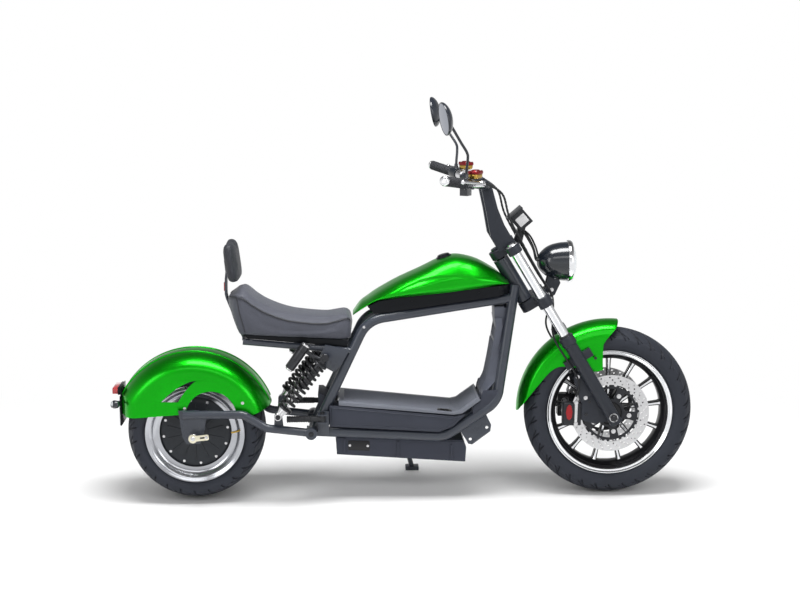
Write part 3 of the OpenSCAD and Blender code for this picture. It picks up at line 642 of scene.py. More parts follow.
def stitches(name, lines, slot, body):
    """Thread along lines of points: one long bead for every stitch."""
    mesh = bpy.data.meshes.new(name)
    points, edges = [], []
    for line in lines:
        edges += [(len(points) + i, len(points) + i + 1) for i in range(len(line) - 1)]
        points += [tuple(p) for p in line]
    mesh.from_pydata(points, edges, [])
    return grown(name, STITCH, mesh, {"Pitch": 6.5, "Length": 2.3, "Thread": 0.75}, slot, body, PARKED,
                 finish="thread_grey", sharp=80)


# %% [markdown]
# ## Tank cover
# A moulded shell with a round back, a shoulder and a lower panel set in behind a soft crease. The stations
# along it are the solid's own, joined by smooth curves instead of straight facets. Below the crease line the
# skin steps in by a few millimetres, which gives the dark line that runs along the real cover.

# %% Tank skin with its crease
# A station is its place along the scooter, its lowest and highest point and its half width.
TANK = [(-174, 640, 647, 46), (-150, 659, 680, 66), (-124, 677, 699, 80), (-87, 696, 724, 92),
        (-20, 708, 762, 106), (59, 717, 799, 114), (122, 724, 830, 117), (170, 730, 844, 117),
        (210, 735, 841, 114), (257, 740, 827, 108), (309, 746, 798, 94), (337, 748, 776, 82),
        (358, 749, 759, 70)]
TANK_SIDE = smooth([(0, 1), (0.25, 0.99), (0.5, 0.94), (0.72, 0.8), (0.9, 0.56), (1, 0.36), (0.98, 0.16),
                    (0.86, 0)], 84)
CREASE = [(-90, 702), (-65, 714), (-10, 743), (53, 771), (110, 784), (171, 790), (222, 786), (260, 764),
          (274, 743)]
CREASE_STEP, CREASE_REAR, CREASE_FRONT = 4.5, -90, 272


def tank_row(x, low, high, half):
    side = []
    for y, z in TANK_SIDE:
        y, z = half * y, low + (high - low) * z
        under = along(CREASE, x) - z if CREASE_REAR < x < CREASE_FRONT else 0
        y -= (CREASE_STEP * ease(under, -2, 10) * ease(x, CREASE_REAR, -20) * ease(CREASE_FRONT - x, 0, 60)
              * (0.55 + 0.45 * ease(z - low, 0, 30)))
        side.append((x, y, z))
    return side + [(x, -y, z) for x, y, z in side[::-1]][:-1]


def stations(table, count):
    """More stations between those of a table, on smooth curves."""
    lanes = [smooth([(row[0], row[k]) for row in table], count) for k in range(1, len(table[0]))]
    return [(lanes[0][i].x, *(lane[i].y for lane in lanes)) for i in range(count + 1)]


def carved(thing, cutters):
    """The object with some shapes cut out of it."""
    tools = []
    for i, cutter in enumerate(cutters):
        tool = placed(f"cutter_{i}", cutter.mesh("cutter"))
        cut = thing.modifiers.new("cut", "BOOLEAN")
        cut.operation, cut.solver, cut.object = "DIFFERENCE", "EXACT", tool
        tools.append(tool)
    applied(thing)
    for tool in tools:
        bpy.data.objects.remove(tool)
    return thing


tank_shape = Shape().skin([tank_row(*s) for s in stations(TANK, 190)], ring=True, caps=True)
tank_skin = placed("tank_skin", tank_shape.mesh("tank_skin"))
head_cut = Shape().tube([fork_point(-52, 0, z) for z in (500, 760)], 34, 48)
loop_cut = Shape().tube([(376, 43, 700), (393, 30, 805)], 24, 32).both()
carved(tank_skin, [head_cut, loop_cut])
finished(tank_skin, "body_green", "chassis", sharp=38, replaces=("tank_cover",))
print("tank skin", len(tank_skin.data.polygons), "faces")

# %% [markdown]
# ## Fenders
# Each fender is one pressed sheet: an arched crown that follows the tyre and a flat side below it. The crown
# is a profile swept round a point near the axle, the side is an outline filled with triangles, and both meet
# on the same points, so the sheet has no seam. Solidify then gives the wall and Bevel softens the rim.


# %% Rear fender
def dome(low, high, half, count):
    """Arched profile from one wall over the crown to the other, as (radius, sideways)."""
    rows, power = [], 0.9
    for i in range(count + 1):
        t = math.radians(-90 + 180 * i / count)
        y = math.copysign(abs(math.sin(t)) ** power, t) * half
        rows.append((low + (high - low) * max(0.0, math.cos(t)) ** power, y))
    return rows


FENDER_X, FENDER_Z, FENDER_R, FENDER_HALF = -724, 238.5, 281, 116
FENDER_START, FENDER_SWEEP = 19, 132
TAIL_X, TAIL_Z, TAIL_RISE = -965.3, 298.5, 0.061
rear_profile = dome(FENDER_R - 70, FENDER_R, FENDER_HALF, 64)


def fender_row(angle):
    a = math.radians(angle)
    return [Vector((FENDER_X + r * math.cos(a), y, FENDER_Z + r * math.sin(a))) for r, y in rear_profile]


def tail_row(drop):
    """The last row let down to the lower edge, which closes the tail."""
    return [Vector((p.x, p.y, max(p.z - drop, TAIL_Z + (p.x - TAIL_X) * TAIL_RISE)))
            for p in fender_row(FENDER_START + FENDER_SWEEP)]


rear_rows = [fender_row(FENDER_START + FENDER_SWEEP * i / 80) for i in range(81)]
rear_rows += [tail_row(drop) for drop in (15, 30, 45, 60, 77)]
leaf = smooth([(-827, 357), (-806, 378), (-778, 400), (-752, 416), (-727, 427), (-707, 430)], 24)
leaf += smooth([(-707, 430), (-722, 419), (-738, 402), (-756, 378), (-770, 356)], 20)[1:]
skirt_edge = [(row[0].x, row[0].z) for row in rear_rows] + [(-900, 302.5), (-760, 312.5)]
skirt_edge += arc(-659, 306.5, 86, 180, 0, 40) + [(-530, 308.5)]
skirt_edge = [p for i, p in enumerate(skirt_edge) if math.dist(p, skirt_edge[i - 1]) > 0.01]
side_faces = tessellate_polygon([[Vector((x, z, 0)) for x, z in edge] for edge in (skirt_edge, leaf)])
rear_sheet = Shape().skin(rear_rows)
for y in (-FENDER_HALF, FENDER_HALF):
    rear_sheet.add([(x, y, z) for x, z in skirt_edge + leaf], [list(f) for f in side_faces])
piece("rear_fender_sheet", rear_sheet, "body_green", "chassis", sharp=40, wall=3, round_edge=0.7,
      replaces=("rear_fender",))

# %% Beads along the rear fender
beads = Shape()
for column in (26, 38):
    beads.tube([row[column] for row in rear_rows[2:]], 3.6, 12)
piece("rear_fender_beads", beads, "body_green", "chassis", sharp=60)

# %% Front fender
# Its lower edge climbs towards a pointed rear tip and its front edge slants, so both edges are tables of
# radius against angle and each row of the sweep stops where the table says.
GUARD_R, GUARD_HALF, GUARD_CROWN = 322, 73.9, 62
GUARD_START, GUARD_SWEEP, GUARD_STEPS = 85, 95, 72
GUARD_EDGE = [(98, 158), (102, 160.6), (111, 166), (120, 192), (131, 227.6), (136, 247), (140, 255),
              (145, 261), (156, 270), (165, 284), (174, 304), (180, 321)]
GUARD_FRONT = [(160, 101), (212, 98.7), (250, 97), (269, 93), (300, 87), (322, 85)]


def guard_half(angle):
    """One half of a row: crown, corner and side down to the lower edge."""
    low = along(GUARD_EDGE, angle)
    half = []
    for i in range(25):
        t = math.radians(90 * i / 24)
        r = GUARD_R - GUARD_CROWN + GUARD_CROWN * math.cos(t) ** 0.95
        y = GUARD_HALF * math.sin(t) ** 0.95
        y += 2.2 * ease(r, 288, 298) * ease(316 - r, 0, 10)
        half.append((r, y) if r >= low else (low, half[-1][1]))
    edge, y = half[-1]
    return half + [(edge + (min(low, edge) - edge) * k / 8, y) for k in range(1, 9)]


guard_rows = []
for i in range(GUARD_STEPS + 1):
    u = i / GUARD_STEPS
    angle = GUARD_START + GUARD_SWEEP * u
    half = guard_half(angle)
    row = []
    for r, y in [(r, -y) for r, y in half[::-1]] + half[1:]:
        a = math.radians(angle + (along(GUARD_FRONT, r) - GUARD_START) * (1 - u) ** 3)
        row.append((FRONT_AXLE.x + r * math.cos(a), y, FRONT_AXLE.z + r * math.sin(a)))
    guard_rows.append(row)
piece("front_fender_sheet", Shape().skin(guard_rows), "body_green", "fork", sharp=40, wall=3, round_edge=0.7,
      replaces=("front_fender",))

# %% [markdown]
# ## Saddle and backrest
# Both are foam under a leather cover. A modeller could sculpt the swell by hand, but foam under a tight
# cover bulges between its seams in a way that a cloth solver finds by itself: the block starts a little
# small, is remeshed into even squares and is blown up for twenty frames with gravity off. A cap keeps every
# point near its start, so the cushion stays where its solid is. Seams, piping and stitches are laid on after,
# because remeshing would wash them out.

# %% Blow up a closed block
FOAM_FRAMES = 20


def cushion(name, shape, voxel, pressure, cap, low):
    """A padded block; points below the height low stay put on what carries the pad."""
    thing = placed(name, shape.mesh(name))
    grid = thing.modifiers.new("squares", "REMESH")
    grid.mode, grid.voxel_size = "VOXEL", voxel / 1000
    applied(thing)
    start = [v.co.copy() for v in thing.data.vertices]
    still = thing.vertex_groups.new(name="still")
    upright = PARKED.inverted()
    still.add([v.index for v in thing.data.vertices if (upright @ v.co).z < low], 1.0, "REPLACE")
    cloth = thing.modifiers.new("cloth", "CLOTH")
    cloth.settings.use_pressure = True
    cloth.settings.uniform_pressure_force = pressure
    cloth.settings.effector_weights.gravity = 0
    cloth.settings.vertex_group_mass = "still"
    for step in range(1, FOAM_FRAMES + 1):
        bpy.context.scene.frame_set(step)
    applied(thing)
    for v, home in zip(thing.data.vertices, start):
        step = v.co - home
        v.co = home + step * min(1.0, cap / 1000 / max(step.length, 1e-9))
    bpy.context.scene.frame_set(1)
    thing.vertex_groups.clear()
    even = thing.modifiers.new("even", "SMOOTH")
    even.iterations = 3
    fine = thing.modifiers.new("fine", "SUBSURF")
    fine.levels = fine.render_levels = 1
    applied(thing)
    print(name, len(thing.data.polygons), "faces")
    return thing


# %% Saddle block
# A station is its place, its half width and the heights of its foot, its seam and its middle.
SEAT = [(-600, 40, 701, 706, 711), (-590, 70, 668, 712, 716), (-574, 96, 624, 716, 722),
        (-558, 108, 589, 714, 737), (-540, 113, 587, 710, 736), (-504, 117, 585, 685, 703),
        (-456, 119, 582, 660, 675), (-386, 118, 578, 637, 653), (-281, 112, 572, 626, 642),
        (-236, 106, 569, 632, 645), (-200, 98, 567, 640, 650), (-184, 88, 569, 636, 644),
        (-180, 80, 576, 624, 632)]
SEAT_SIDE = smooth([(0, 0, 0), (0.6, 0, 0), (0.9, 0, 0), (0.98, 0.3, 0), (1, 0.6, 0), (0.97, 1, 0),
                    (0.84, 1, 0.45), (0.62, 1, 0.78), (0.32, 1, 0.95), (0, 1, 1)], 36)
INSET = 3


def seat_row(x, half, low, edge, top):
    side = [(x, s * (half - INSET), low + (edge - low) * a + (top - edge - INSET * 0.6) * b)
            for s, a, b in SEAT_SIDE]
    return side + [(x, -y, z) for x, y, z in side[::-1]][1:-1]


seat_rows = stations(SEAT, 80)
seat_block = Shape().skin([seat_row(*row) for row in seat_rows], ring=True, caps=True)
saddle = cushion("saddle_pad", seat_block, voxel=5, pressure=4, cap=5, low=592)
finished(saddle, "seat_leather", "chassis", sharp=80, replaces=("saddle",))

# %% Backrest block
# A station is its height and the shares of the full width and thickness there.
PAD = [(762, 0.8, 0.6), (768, 0.94, 0.9), (790, 1, 1), (825, 1, 1), (860, 0.98, 1), (884, 0.92, 0.9),
       (892, 0.78, 0.6)]
PAD_RING = [(-0.86, -1), (0, -1), (0.86, -1), (1, -0.4), (0.95, 0.5), (0.7, 0.9), (0, 1), (-0.7, 0.9),
            (-0.95, 0.5), (-1, -0.4)]
pad_ring = smooth(PAD_RING + PAD_RING[:1], 60)[:-1]
pad_rows = [[(-576 - (z - 761) * 0.13 + b * (20 * thick - 2), a * (105 * wide - 3), z) for a, b in pad_ring]
            for z, wide, thick in stations(PAD, 24)]
pad_block = Shape().skin(pad_rows, ring=True, caps=True)
backrest = cushion("backrest_cushion", pad_block, voxel=4, pressure=4, cap=4, low=0)
finished(backrest, "seat_leather", "chassis", finish="back_leather", sharp=80, replaces=("backrest_pad",))


# %% Seams on the leather
# A line near the cover is pulled onto it: each point goes to the nearest place on the cushion and a little
# out of it, so the piping sits on the leather however far the foam has swollen.
def on_cover(thing, line, proud=0.8):
    upright = PARKED.inverted()
    snapped = []
    for p in line:
        spot, normal = thing.closest_point_on_mesh(PARKED @ Vector(p))[1:3]
        snapped.append(upright @ (spot + normal * proud / 1000))
    return snapped


rim_line = [(x, half, low + (edge - low) * 0.99) for x, half, low, edge, top in seat_rows[2:79]]
seat_edge = smooth(rim_line[::3], 110)
wedge = smooth([(-572, 100, 716), (-566, 108, 690), (-556, 112, 650), (-546, 114, 615), (-541, 112, 592)], 40)
piping = Shape()
seams = []
for side in (-1, 1):
    for line, radius in ((seat_edge, 2.2), (wedge, 1.8)):
        piping.tube(on_cover(saddle, [(p.x, side * p.y, p.z) for p in line]), radius, 10)
    for up in (-7, 7):
        seams.append(on_cover(saddle, [(p.x, side * p.y, p.z + up) for p in seat_edge], 0.3))
piece("saddle_piping", piping, "seat_leather", "chassis", finish="piping_black", sharp=80)
stitches("saddle_stitches", seams, "seat_leather", "chassis")

# %% [markdown]
# ## Tyres
# A tyre is a profile turned about the axle, so the skin is easy; the tread is the part worth a rule. Every
# point stores how far it lies round the tyre and how far from the middle, and a tree works out from these
# two numbers whether the point is inside a slanted groove. Set Position then pushes those points in. Made
# this way the grooves are real geometry, and one number changes their pitch, width or slant. The tree also
# stores where it cut, and the rubber's colour is darkened there as painted shade in the grooves.

# %% Tread rule
tread, given = new_tree("tread", Pitch="Float", Width="Float", Depth="Float", Slant="Float", Inner="Float",
                        Outer="Float")
around, across = (tread.add("GeometryNodeInputNamedAttribute", {"data_type": "FLOAT"}, {"Name": name})
                  for name in ("around", "across"))
off_middle = tread.math("ABSOLUTE", across)
pitch, width, slant, inner, outer = (given.out(n) for n in ("Pitch", "Width", "Slant", "Inner", "Outer"))


def soft_step(value, low, high):
    return tread.add("ShaderNodeMapRange", {"interpolation_type": "SMOOTHSTEP"}, {
        "Value": value, "From Min": low, "From Max": high})


def grooves(lean, shift, start, stop, wide):
    """1 inside the slanted grooves that run from start to stop, 0 elsewhere."""
    turn = (around + off_middle * lean) / pitch + tread.math("SIGN", across) * 0.25 + shift
    gap = tread.math("ABSOLUTE", tread.math("FRACT", turn) - 0.5) * pitch
    inside = 1 - soft_step(gap, wide * 0.3, wide * 0.62)
    return (inside * soft_step(off_middle, start - 1.5, start + 1.5)
            * (1 - soft_step(off_middle, stop - 2, stop + 2)))


cut = tread.math("MAXIMUM", grooves(slant, 0.0, inner, outer, width),
                 grooves(slant * 0.45, 0.5, outer * 0.62, outer * 1.12, width * 0.8))
middle_line = 1 - soft_step(tread.math("ABSOLUTE", off_middle - inner * 0.5), 1.4, 2.8)
cut = tread.math("MAXIMUM", cut, middle_line)
push = tread.vector("SCALE", tread.add("GeometryNodeInputNormal"))
tread.plug(push.socket.node.inputs["Scale"], cut * given.out("Depth") * -1)
pressed = tread.add("GeometryNodeSetPosition", None, {"Geometry": given, "Offset": push})
# The cut is stored as "groove" so that the rubber can paint shade into the grooves.
TREAD = end_tree(tread, given, tread.add(
    "GeometryNodeStoreNamedAttribute", {"data_type": "FLOAT", "domain": "POINT"},
    {"Geometry": pressed, "Name": "groove", "Value": cut}))


# %% Turned tyres
def tyre_half(radius, wide, rim, bead, half, crown, shoulder):
    """Half of a tyre's section from the bead to the middle of the tread, with rings on the side wall."""
    top = radius - crown + math.sqrt(crown ** 2 - shoulder ** 2)
    waist = rim + 0.5 * (top - rim)
    wall = [(bead, half), (rim + 1.5, half)]
    for i in range(1, 15):
        a = math.pi / 2 * i / 14
        wall.append((waist - (waist - rim - 1.5) * math.cos(a), half + (wide / 2 - half) * math.sin(a)))
    for i in range(1, 14):
        t = i / 14
        wall.append(((1 - t) ** 2 * waist + 2 * t * (1 - t) * (top - 3) + t * t * top,
                     (1 - t) ** 2 * wide / 2 + 2 * t * (1 - t) * wide / 2 + t * t * shoulder))
    rings = [rim + 9] + [rim + share * (top - rim) for share in (0.42, 0.47, 0.8)]
    wall = [(r, y + 0.9 * max(0, 1 - min(abs(r - ring) for ring in rings) / 1.6)) for r, y in wall]
    steps = 26
    for i in range(steps + 1):
        y = shoulder * (1 - i / steps)
        wall.append((radius - crown + math.sqrt(crown ** 2 - y * y), y))
    return wall


def tyre(name, centre, section, steps, values, body, node):
    """A turned tyre whose points know their way round it and their way over its skin from the middle."""
    half = tyre_half(*section)
    profile = half + [(r, -y) for r, y in half[-2::-1]]
    far = [0.0]
    for here, there in zip(half[::-1], half[-2::-1]):
        far.append(far[-1] + math.dist(here, there))
    far = far[::-1] + [-d for d in far[1:]]
    shape = Shape().lathe(profile, centre, steps)
    mesh = bpy.data.meshes.new(name)
    mesh.from_pydata([PARKED @ p for p in shape.points], [], shape.faces)
    girth, count, spots = 2 * math.pi * section[0], len(profile), range(len(shape.points))
    for key, stored in (("around", [girth * (i // count) / steps for i in spots]),
                        ("across", [far[i % count] for i in spots])):
        mesh.attributes.new(key, "FLOAT", "POINT").data.foreach_set("value", stored)
    cleaned(mesh)
    values = {**values, "Pitch": girth / values["Pitch"], "Depth": values["Depth"] / 1000}
    return grown(name, TREAD, mesh, values, "tyre_rubber", body, sharp=28, replaces=(node,))


tyre("front_tyre_tread", FRONT_AXLE, (294, 130, 219, 203, 45, 74, 52), 900,
     {"Pitch": 34, "Width": 6.5, "Depth": 4, "Slant": 1.15, "Inner": 9.0, "Outer": 70.0},
     "front_wheel", "front_tyre")
tyre("rear_tyre_tread", REAR_AXLE, (238.5, 215, 171, 155, 84, 190, 90.3), 760,
     {"Pitch": 26, "Width": 7.0, "Depth": 4, "Slant": 0.9, "Inner": 16.0, "Outer": 108.0},
     "rear_wheel", "rear_tyre")

# %% [markdown]
# ## Front wheel
# The cast rim has a polished lip, a black barrel and thirteen spokes with a bright machined face between
# black flanks. One spoke is drawn pointing straight up and the ring tree repeats it. The black barrel and the
# polished lip are two turned pieces, because each has its own finish.


# %% Rim, lip and hub
def mirrored(profile):
    """The other half of a profile of (radius, sideways)."""
    return [(r, -y) for r, y in profile[::-1]]


barrel = [(203, 45.2), (203, 32), (191.5, 22), (191.5, -22), (203, -32), (203, -45.2), (207, -49),
          (203.5, -50.5), (197, -44), (196, -34), (188, -24), (185, -16), (185, 16), (188, 24), (196, 34),
          (197, 44), (203.5, 50.5), (207, 49)]
piece("front_rim_barrel", Shape().lathe(barrel, FRONT_AXLE, 144), "motor_black", "front_wheel",
      finish="rim_black", replaces=("front_rim",))
lip = [(206, 45.4), (218.6, 45.4), (219.6, 47), (219.8, 52), (219, 54.2), (217, 54.6), (215.2, 53.2),
       (212.5, 50.8), (208.5, 52.2), (206.4, 52.6), (204.5, 51.2), (204.2, 48)]
piece("front_rim_lips", Shape().lathe(lip, FRONT_AXLE, 160).both(), "rim_alloy", "front_wheel", sharp=40)
hub = [(12.6, -70), (20, -70), (22, -68), (22, -62.5), (38, -62), (41.5, -59), (42, -40), (36, -30)]
piece("front_hub", Shape().lathe(hub + mirrored(hub), FRONT_AXLE, 72), "motor_black", "front_wheel",
      finish="rim_black", sharp=30)

# %% Spokes
SPOKES = 13
flank, edge = [], 2.4
for r, w, h in ((34, 9.5, 15), (60, 7.4, 13), (150, 6.6, 11.5), (178, 7.6, 12.5), (189, 10.5, 15)):
    flank.append([(x, y, r) for x, y in ((-w, -h + 2), (-w + edge, -h), (w - edge, -h), (w, -h + 2),
                                         (w, h - 2), (w - edge, h), (-w + edge, h), (-w, h - 2))])
ring_of("front_spokes", Shape().skin(flank, ring=True, caps=True), SPOKES, FRONT_AXLE, "motor_black",
        "front_wheel", finish="rim_black")
bright = Shape()
for side in (-1, 1):
    rows = []
    for r, w, h in ((44, 4.6, 14.2), (60, 3.6, 13.6), (150, 3.2, 12.1), (178, 3.8, 13.1), (187, 5.2, 14.6)):
        rows.append([(x, side * (h + d), r) for x, d in ((-w, -1), (-w, 0.1), (-w + 0.7, 0.6),
                                                         (w - 0.7, 0.6), (w, 0.1), (w, -1))])
    bright.skin(rows, ring=True, caps=True)
ring_of("front_spoke_faces", bright, SPOKES, FRONT_AXLE, "rim_alloy", "front_wheel")

# %% [markdown]
# ## Drilled brake discs
# A disc is a flat ring full of round holes. Circles drawn as curves, filled and pushed out give exactly that,
# without one boolean. The rows of holes are placed by the same ring rule as the spokes, a third of a step
# apart.

# %% Disc rule
disc, given = new_tree("drilled_disc", Outside="Float", Inside="Float", Hole="Float", Count="Int",
                       Thick="Float")
outside, inside, holes = (given.out(name) for name in ("Outside", "Inside", "Count"))


def circle(radius, sides):
    return disc.add("GeometryNodeCurvePrimitiveCircle", None, {"Resolution": sides, "Radius": radius})


def hole_row(share, shift):
    """A row of holes at a share of the way from the inner to the outer edge."""
    at = inside + (outside - inside) * share
    turn = (disc.add("GeometryNodeInputIndex") + shift) * (2 * math.pi) / holes
    spot = disc.add("ShaderNodeCombineXYZ", None, {
        "X": at * disc.math("COSINE", turn), "Y": at * disc.math("SINE", turn)})
    dots = disc.add("GeometryNodePoints", None, {"Count": holes, "Position": spot})
    copies = disc.add("GeometryNodeInstanceOnPoints", None, {
        "Points": dots, "Instance": circle(given.out("Hole"), 14)})
    return disc.add("GeometryNodeRealizeInstances", None, {"Geometry": copies})


edges = disc.join(circle(outside, 160), circle(inside, 128), hole_row(0.24, 0.0), hole_row(0.5, 0.33),
                  hole_row(0.76, 0.66))
flat = disc.add("GeometryNodeFillCurve", {"mode": "TRIANGLES"}, {"Curve": edges})
thick = disc.add("GeometryNodeExtrudeMesh", None, {
    "Mesh": flat, "Offset Scale": given.out("Thick"), "Individual": False})
both_faces = disc.join(thick, disc.add("GeometryNodeFlipFaces", None, {"Mesh": flat}))
DISC = end_tree(disc, given, disc.add("GeometryNodeMergeByDistance", None, {
    "Geometry": both_faces, "Distance": 0.01}))
DISC_THICK, DISC_HOLE = 5.0, 2.9


def drilled(name, centre, y, outside, inside, count, body, replaces=()):
    """A disc that starts at the sideways distance y."""
    upright = (Matrix.Translation(Vector(centre) + Vector((0, y + DISC_THICK, 0)))
               @ Matrix.Rotation(math.radians(90), 4, "X"))
    sizes = {"Outside": outside, "Inside": inside, "Hole": DISC_HOLE, "Count": count, "Thick": DISC_THICK}
    return grown(name, DISC, bpy.data.meshes.new(name), sizes, "disc_steel", body, PARKED @ upright,
                 replaces=replaces, sharp=30)


# %% Front discs, carriers and their bolts
drilled("front_disc_right", FRONT_AXLE, -67.3, 135, 101, 26, "front_wheel", ("front_discs",))
drilled("front_disc_left", FRONT_AXLE, 62.3, 135, 101, 26, "front_wheel")


def bean(radius, inner, start, stop):
    """A curved window between two radii."""
    return arc(0, 0, radius, start, stop, 10) + arc(0, 0, inner, stop - 4, start + 4, 10)


def carrier(outside, tabs, reach, low, high, bore, windows):
    """A plate about an axle: a tab for every rivet that holds the ring, a bore and curved windows."""
    toothed = [(outside + reach * (i % 8 in (1, 2, 3)), a) for i, a in enumerate(turns(tabs * 8))]
    outline = [(r * math.cos(a), r * math.sin(a)) for r, a in toothed]
    return Shape().slab(outline, low, high, [bore[:-1]] + [bean(*window) for window in windows])


front_carrier = carrier(95, 10, 13, 63.0, 66.6, arc(0, 0, 40, 0, 360, 40),
                        [(87, 50, 72 * k + 3, 72 * k + 54) for k in range(5)])
piece("front_disc_carriers", front_carrier.moved(Matrix.Translation(FRONT_AXLE)).both(), "caliper_black",
      "front_wheel", round_edge=0.5)


def bolt_circle(centre, radius, count, y, shift):
    """Spots for bolts round an axle on both sides, looking outwards."""
    spots = []
    for side in (-1, 1):
        for a in turns(count):
            a += math.radians(shift)
            spots.append(((centre.x + radius * math.cos(a), side * y, centre.z + radius * math.sin(a)),
                          side * LEFT))
    return spots


bolts("front_disc_bolts", bolt_circle(FRONT_AXLE, 66, 5, 66.6, 64.5), 6, 4.5, "bright_steel", "front_wheel")
bolts("front_disc_rivets", bolt_circle(FRONT_AXLE, 101, 10, 67.4, 9), 4.2, 2, "bright_steel", "front_wheel",
      sides=14)

# %% [markdown]
# ## Rear wheel
# The rear rim is a deep polished dish round a black hub motor. The motor's cover has fine cast ribs, a raised
# middle and a ring of small bright screws. Cover and dish are turned, ribs and screws are repeated.

# %% Dish and motor
dish = [(171, 84.4), (172.2, 87), (172, 92), (170, 93.4), (167, 92.8), (164, 90), (159, 88.5), (153, 84),
        (147, 77), (141, 70.5), (132, 67.5), (124, 66), (121.4, 62)]
dish += mirrored(dish) + [(155, -84.4), (155, 84.4)]
piece("rear_rim_dish", Shape().lathe(dish, REAR_AXLE, 160), "rim_alloy", "rear_wheel", finish="dish_alloy",
      sharp=36, replaces=("rear_rim",))
cover = [(12.6, 74), (24, 74), (36, 73.4), (40.5, 71.5), (44, 67), (47, 65.4), (98, 61), (104, 61.6),
         (117, 60.4), (120, 58.6), (121, 55)]
piece("motor_cover", Shape().lathe(cover + mirrored(cover), REAR_AXLE, 128), "motor_black", "rear_wheel",
      sharp=30, replaces=("hub_motor",))
rib = Shape()
RIB_SECTION = [(-2.6, -2.5), (-1.4, 1.5), (-0.7, 1.9), (0.7, 1.9), (1.4, 1.5), (2.6, -2.5)]
for side in (-1, 1):
    rows = [[(x, side * (h + d), r) for x, d in RIB_SECTION]
            for r, h in ((46, 65.4), (60, 64.3), (80, 62.6), (96, 61.2), (101, 60.4))]
    rib.skin(rows, ring=True, caps=True)
ring_of("motor_ribs", rib, 14, REAR_AXLE, "motor_black", "rear_wheel")
bolts("motor_screws", bolt_circle(REAR_AXLE, 111, 12, 61, 8), 3.4, 3, "bright_steel", "rear_wheel", sides=12)

# %% Rear disc and valve
drilled("rear_disc_ring", REAR_AXLE, 95.5, 105, 74, 22, "rear_wheel", ("rear_disc",))
rear_carrier = carrier(72, 6, 9, 96.2, 99.8, arc(0, 0, 21, 0, 360, 32),
                       [(62, 42, 60 * k + 8, 60 * k + 46) for k in range(6)])
rear_carrier.moved(Matrix.Translation(REAR_AXLE))
rear_carrier.lathe([(20.5, 74.5), (38, 74.5), (38, 96.5), (20.5, 96.5)], REAR_AXLE, 48)
piece("rear_disc_carrier", rear_carrier, "motor_black", "rear_wheel", round_edge=0.4)
valve = [REAR_AXLE + Vector(p) for p in ((150, -80, 8), (140, -88, 6), (124, -92, 4))]
piece("rear_valve", Shape().tube(valve, [4.2, 3.4, 3.4], 14), "reservoir_gold", "rear_wheel", sharp=40)

# %% [markdown]
# ## Fork, lamp and dash
# The fork legs, the lamp bowl and the grips are turned parts whose axis leans, so a second helper turns a
# profile about any line. The head lamp is built as it is in life: a painted bowl, a plated ring, a bright
# reflector with a bulb, and a thin domed glass in front, so the glass has something to show.


# %% Turned parts about any line
def spindle(shape, start, way, profile, sides=40):
    """A profile of (distance along, radius) turned about the line from start."""
    way = Vector(way).normalized()
    side = way.orthogonal().normalized()
    up = way.cross(side)
    rows = [[Vector(start) + way * a + r * (math.cos(t) * side + math.sin(t) * up) for t in turns(sides)]
            for a, r in profile]
    return shape.skin(rows, ring=True, caps=True)


row_graph, given = new_tree("row_of_copies", Count="Int", Step="Vector")
row_points = row_graph.add("GeometryNodeMeshLine", None, {
    "Count": given.out("Count"), "Offset": given.out("Step")})
ROW = end_tree(row_graph, given, row_graph.add("GeometryNodeInstanceOnPoints", None, {
    "Points": row_points, "Instance": given}))


def row_of(name, shape, count, step, slot, body, **more):
    """Copies of a shape, one step apart."""
    return grown(name, ROW, shape.mesh(name, Matrix.Identity(4)), {"Count": count, "Step": step}, slot, body,
                 PARKED, **more)


# %% Fork legs
LEG = 100
UP_FORK, OUT_FORK = (fork_point(*way) - fork_point(0, 0, 0) for way in ((0, 0, 1), (1, 0, 0)))
for node, width in (("fork_sliders", 2.2), ("lower_yoke", 2.5), ("top_clamp", 2.5), ("bar_risers", 3)):
    softened(node, "fork", "fork_black", width)
seals, collars, caps = Shape(), Shape(), Shape()
spindle(collars, fork_point(0, LEG, 290), UP_FORK, [(0, 22.6), (3, 25.9), (8, 26.4), (27, 26.4), (31, 25.6),
                                                    (34.5, 22), (34.6, 17)])
spindle(collars, fork_point(0, LEG, -34), UP_FORK, [(0, 15), (2, 19.5), (5, 22), (20, 22.8), (26, 22.6)])
spindle(seals, fork_point(0, LEG, 323), UP_FORK, [(0, 21), (3, 21), (6, 19.6), (9, 17.4), (9.2, 16.6)])
spindle(caps, fork_point(0, LEG, 688), UP_FORK, [(0, 22), (3, 22), (5, 20), (5.2, 12), (9, 11.4), (10, 9)],
        24)
piece("fork_collars", collars.both(), "fork_black", "fork", sharp=30)
piece("fork_seals", seals.both(), "hose_rubber", "fork", sharp=30)
piece("fork_caps", caps.both(), "bright_steel", "fork", sharp=30)
clamp_spots = [(fork_point(*p), OUT_FORK) for p in ((24.2, 66, 458), (24.2, 66, 476), (22.2, 72, 675))]
bolts("yoke_bolts", both_sides(clamp_spots), 5, 5, "bright_steel", "fork")
bolts("fender_bolts", outward((658, 88.6, 494), (570, 88.6, 446), (640, 88.6, 340), (630, 88.6, 296)), 4, 3,
      "bright_steel", "fork", finish="shock_metal")
nut = Shape()
spindle(nut, FRONT_AXLE + 134 * LEFT, LEFT, [(0, 13.5), (6, 13.5), (7.4, 11.5), (7.5, 8.2)], 6)
spindle(nut, FRONT_AXLE + 138 * LEFT, LEFT, [(0, 8), (6, 8), (7.5, 6.5)], 24)
piece("front_axle_nuts", nut.both(), "shock_metal", "fork", sharp=25, round_edge=0.5)

